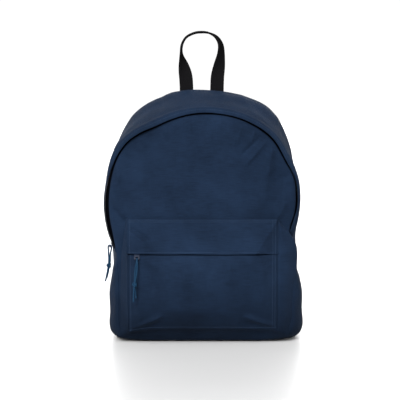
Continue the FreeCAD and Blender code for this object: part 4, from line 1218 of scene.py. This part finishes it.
# Centre (y, z) and radius of the arc that the straps' middle surface follows.
ARC_Y, ARC_Z, ARC_RADIUS = -281.7, 270, 370.0


def leaned(points, side):
    """Points in a strap's own frame, turned outwards about the middle of its top end."""
    turn = math.radians(-side * STRAP_LEAN)
    x, y, z = points[..., 0], points[..., 1], points[..., 2] - STRAP_TOP
    return np.stack([x * math.cos(turn) + z * math.sin(turn) + side * STRAP_X, y,
                     STRAP_TOP - x * math.sin(turn) + z * math.cos(turn)], -1)


def leaned_way(way, side):
    """A direction in a strap's own frame, turned with it."""
    start = np.array([0, 0, STRAP_TOP], float)
    return leaned(start + way, side) - leaned(start, side)


def strap_surface(across, high, z):
    """Points of a strap: across its width, high off its middle surface, at heights z."""
    out = ARC_Y + np.sqrt(ARC_RADIUS ** 2 - (z - ARC_Z) ** 2)
    return np.stack(np.broadcast_arrays(across, out + high * (out - ARC_Y) / ARC_RADIUS,
                                        z + high * (z - ARC_Z) / ARC_RADIUS), -1)


WEBBING_WIDE = 24.6
BUCKLE_LOOP = [(70.0, 167), (67.2, 161), (66.2, 156), (66.2, 152), (68.9, 149.7), (71.8, 152),
               (72.0, 156), (71.8, 161), (71.6, 167)]
WEBBING_END = [(66.1, 138), (66.1, 143), (66.9, 147), (69.0, 148.1), (71.3, 147), (71.9, 143),
               (72.0, 132), (71.8, 110), (71.6, 90), (71.4, 76), (71.6, 71), (72.4, 67.4),
               (73.2, 69.6), (73.0, 76), (72.9, 82)]
STRAP_WIDE = curve([(158, 13), (162, 17.5), (170, 23), (182, 27.5), (200, 29.8), (240, 30.2),
                    (340, 30.2), (382, 30.2)])


def strap_pad(name, side, body):
    """The padded part of a strap, with its lining."""
    turn = np.linspace(0, 2 * math.pi, 33)[:-1]
    z = np.linspace(160.8, 379.5, 60)[:, None]
    round_x = np.sign(np.cos(turn)) * np.abs(np.cos(turn)) ** 0.45
    round_y = np.sign(np.sin(turn)) * np.abs(np.sin(turn)) ** 0.8
    grid = strap_surface((STRAP_WIDE(z) - 1.5) * round_x, 3.5 * round_y, z)
    low, top = grid[:1], grid[-1:]
    low_middle, top_middle = low.mean(1, keepdims=True), top.mean(1, keepdims=True)
    grid = np.concatenate([*(low_middle + (low - low_middle) * k for k in (0.1, 0.6)), grid,
                           *(top_middle + (top - top_middle) * k for k in (0.6, 0.1))])
    grid = leaned(np.concatenate([grid, grid[:, :1]], 1), side) * MM
    pad = weld(add(f"{name}_strap_pad", sheet_mesh(f"{name}_strap_pad", grid)), 1e-6, close=True)
    pad.data.materials.append(SHELL)
    puffed(pad, 4.0, 3.5, 1.6)
    face_uvs(pad)
    lining_faces(pad, MESH, Vector((0, -1, 0)))
    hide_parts(f"{name}_strap_cover", f"{name}_strap_foam", f"{name}_strap_lining")
    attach(pad, body)
    return pad


def strap_edge(name, side, body, pad):
    """The binding round a strap and the stitches beside it."""
    heights = np.linspace(161.5, 378.5, 110)
    wide = STRAP_WIDE(heights)
    left = strap_surface(-wide, 0 * wide, heights)
    right = strap_surface(wide, 0 * wide, heights)
    foot = strap_surface(np.linspace(-wide[0], wide[0], 12)[1:-1], np.zeros(10),
                         np.full(10, 161.0))
    rim = leaned(np.concatenate([left[::-1], foot, right]), side)
    rim = resample(rim, 3.0)
    tangent = frames_along(rim)
    out = np.array([0, 1.0, 0])
    away = np.cross(tangent, out)
    away /= np.linalg.norm(away, axis=1, keepdims=True)
    binding = band(f"{name}_strap_binding", rim, np.cross(away, tangent), away, 5.2, 2.4, WEBBING)
    belongs(binding, "webbing", body)
    rows = []
    for share in (-1, 1):
        line = leaned(strap_surface(share * (STRAP_WIDE(heights) - 6.5), 9 + 0 * heights,
                                    heights), side)[6:] * MM
        spots, normals = cast_on(pad, line, (0, -1, 0))
        rows += stitches(spots, normals, pitch=3.3)
    thread = join_meshes(f"{name}_strap_stitches", rows, THREAD)
    belongs(thread, "shell_cloth", body)


def strap_webbing(name, side, body):
    """The loop that holds the buckle, and the webbing's end that hangs from it."""
    across = leaned_way((1.0, 0, 0), side)

    def profile(stations, count):
        """Webbing on the strap's middle line, from (y, z) stations."""
        flat = through(stations, count)
        centres = leaned(np.stack([0 * flat[:, 0], flat[:, 0], flat[:, 1]], -1), side)
        way = frames_along(centres)
        widths = np.tile(across, (count, 1))
        return centres, widths, np.cross(way, widths)

    for piece, node, stations, count in (("buckle_loop", "buckle_tab", BUCKLE_LOOP, 50),
                                         ("webbing_end", "webbing_tail", WEBBING_END, 120)):
        webbing = band(f"{name}_{piece}", *profile(stations, count), WEBBING_WIDE, 1.1, WEBBING)
        belongs(webbing, "webbing", body, f"{name}_{node}")
    kept(f"{name}_ladder_lock", PLASTIC, 0.5)


def lower_webbing(name, side):
    """The webbing from the buckle down to the bag; returns its path and widths."""
    foot = np.array([side * 122.0, 64.1, 30.0])
    head = leaned(np.array([[0, 66.1, 142.0]]), side)[0]
    t = np.linspace(0, 1, 60)[:, None]
    climb = leaned_way((0, 0, 1.0), side)
    chord = head - foot
    reach = np.linalg.norm(chord)
    start_way = chord * (1, 0, 1) / reach
    path = ((2 * t ** 3 - 3 * t ** 2 + 1) * foot + (t ** 3 - 2 * t ** 2 + t) * start_way * reach
            + (3 * t ** 2 - 2 * t ** 3) * head + (t ** 3 - t ** 2) * climb * reach)
    way = frames_along(path)
    widths = np.cross(np.array([0, 1.0, 0]), way)
    widths /= np.linalg.norm(widths, axis=1, keepdims=True)
    lower = band(f"{name}_lower_strap", path, widths, np.cross(way, widths), WEBBING_WIDE, 1.2,
                 WEBBING)
    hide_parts(f"{name}_lower_webbing")
    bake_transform(lower)
    return path, widths


def anchor_at(side, u, v):
    """x and z on an anchor tab, from its side seam (u 0) to its narrow end (u 1)."""
    near_z, far_z = 12 + 56 * v, 30 + 16.5 * v
    return side * (146 - 36.5 * u + 0 * v), near_z + (far_z - near_z) * u


def anchor_tab(name, side, path, widths):
    """The cloth tab that holds the lower webbing, and the stitches on both."""
    u = np.linspace(0, 1, 24)[None, :]
    v = np.linspace(0, 1, 24)[:, None]
    tab_x, tab_z = anchor_at(side, u, v)
    rim_fall = np.minimum(np.minimum(u, 1 - u) * 36, np.minimum(v, 1 - v) * 40)
    tab_y = 63.35 - 0.7 * np.exp(-rim_fall / 1.2) + 0 * u
    anchor = cloth_sheet(f"{name}_anchor_cloth", np.stack([tab_x, tab_y, tab_z], -1) * MM, SHELL,
                         thick=1.0, flip=side > 0)
    belongs(anchor, "shell_cloth", "bag", f"{name}_anchor_tab")
    corners = []
    for u, v in ((0.2, 0.12), (0.2, 0.88), (0.88, 0.8), (0.88, 0.2), (0.2, 0.12)):
        corner_x, corner_z = anchor_at(side, u, v)
        corners.append((corner_x, 63.4, corner_z))
    rows = stitches(resample(np.array(corners) * MM, 0.003), np.array([0, 1.0, 0]))
    low_x = widths[0] * 9.5
    box = [path[1] - low_x, path[1] + low_x, path[7] + low_x, path[7] - low_x, path[1] + low_x,
           path[7] + low_x, path[1] - low_x, path[7] - low_x, path[1] - low_x]
    rows += stitches((np.array(box) + (0, 0.6, 0)) * MM, np.array([0, 1.0, 0]), pitch=3.0)
    thread = join_meshes(f"{name}_anchor_stitches", rows, THREAD)
    belongs(thread, "shell_cloth", "bag")


def shoulder_strap(name, side):
    """A padded strap with its bound edge, buckle and webbing."""
    body = f"{name}_shoulder_strap"
    pad = strap_pad(name, side, body)
    strap_edge(name, side, body, pad)
    strap_webbing(name, side, body)
    path, widths = lower_webbing(name, side)
    anchor_tab(name, side, path, widths)


def yoke():
    """The strip sewn over the top ends of both straps."""
    x = np.linspace(-96, 96, 150)[None, :]
    v = np.linspace(0, 1, 34)[:, None]
    top = ZIP_CENTRE + np.sqrt(np.maximum((MID(90) - 4.0) ** 2 - (x * 1.02) ** 2, 0))
    top = np.minimum(top, 399.0)
    low = 374.0 + 2.2 * (x / 96) ** 2 - 1.0 + 0 * x
    z = top + (low - top) * v
    rise = curve([(0, 0.2), (0.2, 1.6), (0.38, 5.6), (0.55, 10.6), (0.7, 14.0), (0.85, 16.0),
                  (1, 16.9)])(v + 0 * x)
    reach = np.abs(x)
    over = smooth_step(92 - reach, 2, 15) * (1 - 0.55 * np.exp(-(x / 8.0) ** 2))
    y = 62.4 + rise * over + 0.35 * ripple(x, z, 34, 77) * np.sin(np.pi * v)
    points = np.stack([x + 0 * v, y, z], -1) * MM
    piece = cloth_sheet("back_yoke", points, SHELL)
    belongs(piece, "shell_cloth", "bag")
    normal = facing(points, 1)
    rows = []
    for row in (-3, -7, 3):
        rows += stitches(points[row, 2:-2], normal[row, 2:-2])
    thread = join_meshes("yoke_stitches", rows, THREAD)
    belongs(thread, "shell_cloth", "bag")


# ---------------------------------------------------------------- camera, light and floor

def stage():
    """A pale floor, soft studio light and the camera."""
    floor_mesh = bpy.data.meshes.new("floor")
    floor_mesh.from_pydata([(-14, -8, 0), (14, -8, 0), (14, 40, 0), (-14, 40, 0)], [],
                           [(0, 1, 2, 3)])
    floor = add("floor", floor_mesh)
    material, tree, shader = blank("floor", 0.42)
    spot = make(tree, "TexNoise", [("Scale", 3.0)])
    tree.links.new(tint(tree, (0.46, 0.46, 0.46), (0.48, 0.48, 0.48), spot.outputs["Fac"]),
                   shader.inputs["Base Color"])
    floor_mesh.materials.append(material)
    world = bpy.data.worlds.new("studio")
    world.use_nodes = True
    sky = world.node_tree
    way = make(sky, "TexCoord").outputs["Generated"]
    height = make(sky, "SeparateXYZ", [(0, way)]).outputs["Z"]
    level = make(sky, "Math", [(0, height)], operation="ABSOLUTE").outputs[0]
    glow = make(sky, "MapRange", [("Value", level), ("From Min", 0.08), ("From Max", 0.13),
                                  ("To Min", 1.05), ("To Max", 2.6)]).outputs[0]
    dome = make(sky, "MapRange", [("Value", level), ("From Min", 0.22), ("From Max", 0.34),
                                  ("To Min", 2.6), ("To Max", 0.45)]).outputs[0]
    both = make(sky, "Math", [(0, glow), (1, dome)], operation="MINIMUM").outputs[0]
    sky.links.new(both, sky.nodes["Background"].inputs[1])
    sky.nodes["Background"].inputs[0].default_value = (1.0, 1.0, 1.0, 1)
    scene.world = world
    for name, turn, height, soft, power in (("key", -20, 30, 12, 3.5), ("top", 2, 40, 70, 3.9),
                                            ("rear", 184, 18, 60, 2.3)):
        light = bpy.data.lights.new(name, "SUN")
        light.energy = power
        light.angle = math.radians(soft)
        lamp = add(name, light)
        turn, height = math.radians(turn), math.radians(height)
        from_where = Vector((math.sin(turn) * math.cos(height),
                             -math.cos(turn) * math.cos(height), math.sin(height)))
        lamp.rotation_mode = "QUATERNION"
        lamp.rotation_quaternion = (-from_where).to_track_quat("-Z", "Y")
    lens = bpy.data.cameras.new("camera")
    lens.lens = 133.19
    lens.sensor_width = 36
    camera = add("camera", lens)
    aim = Vector((-0.00237, 0, 0.22292))
    tilt = math.radians(3.5)
    camera.location = aim + Vector((0, -math.cos(tilt), math.sin(tilt))) * 2.4
    camera.rotation_mode = "QUATERNION"
    camera.rotation_quaternion = (aim - camera.location).to_track_quat("-Z", "Y")
    scene.camera = camera
    scene.view_settings.view_transform = "Standard"


stage()
pull("main", (-146.28, -45, 150.95), (-1, 0, 0), (0, 1, 0), PULL_OUTER, PULL_INNER, PULL_KNOT,
     (0.0669, 0.0485))
pull("pocket", (-101.5, -92, 134), (0, -1, 0), (1, 0, 0), POCKET_OUTER, POCKET_INNER,
     POCKET_KNOT, (0.0757, 0.0573))
top_gusset()
base_gusset()
front_panel()
zip_tapes()
main_teeth()
pocket_face = pocket_front()
pocket_strip = pocket_band()
pocket_gusset()
pocket_seams(pocket_face, pocket_strip)
pocket_zip()
for slider_part in ("main_slider", "main_zip_stops"):
    kept(slider_part, METAL)
slider_tab()
haul_loop()
back_pad()
shoulder_strap("left", -1)
shoulder_strap("right", 1)
yoke()
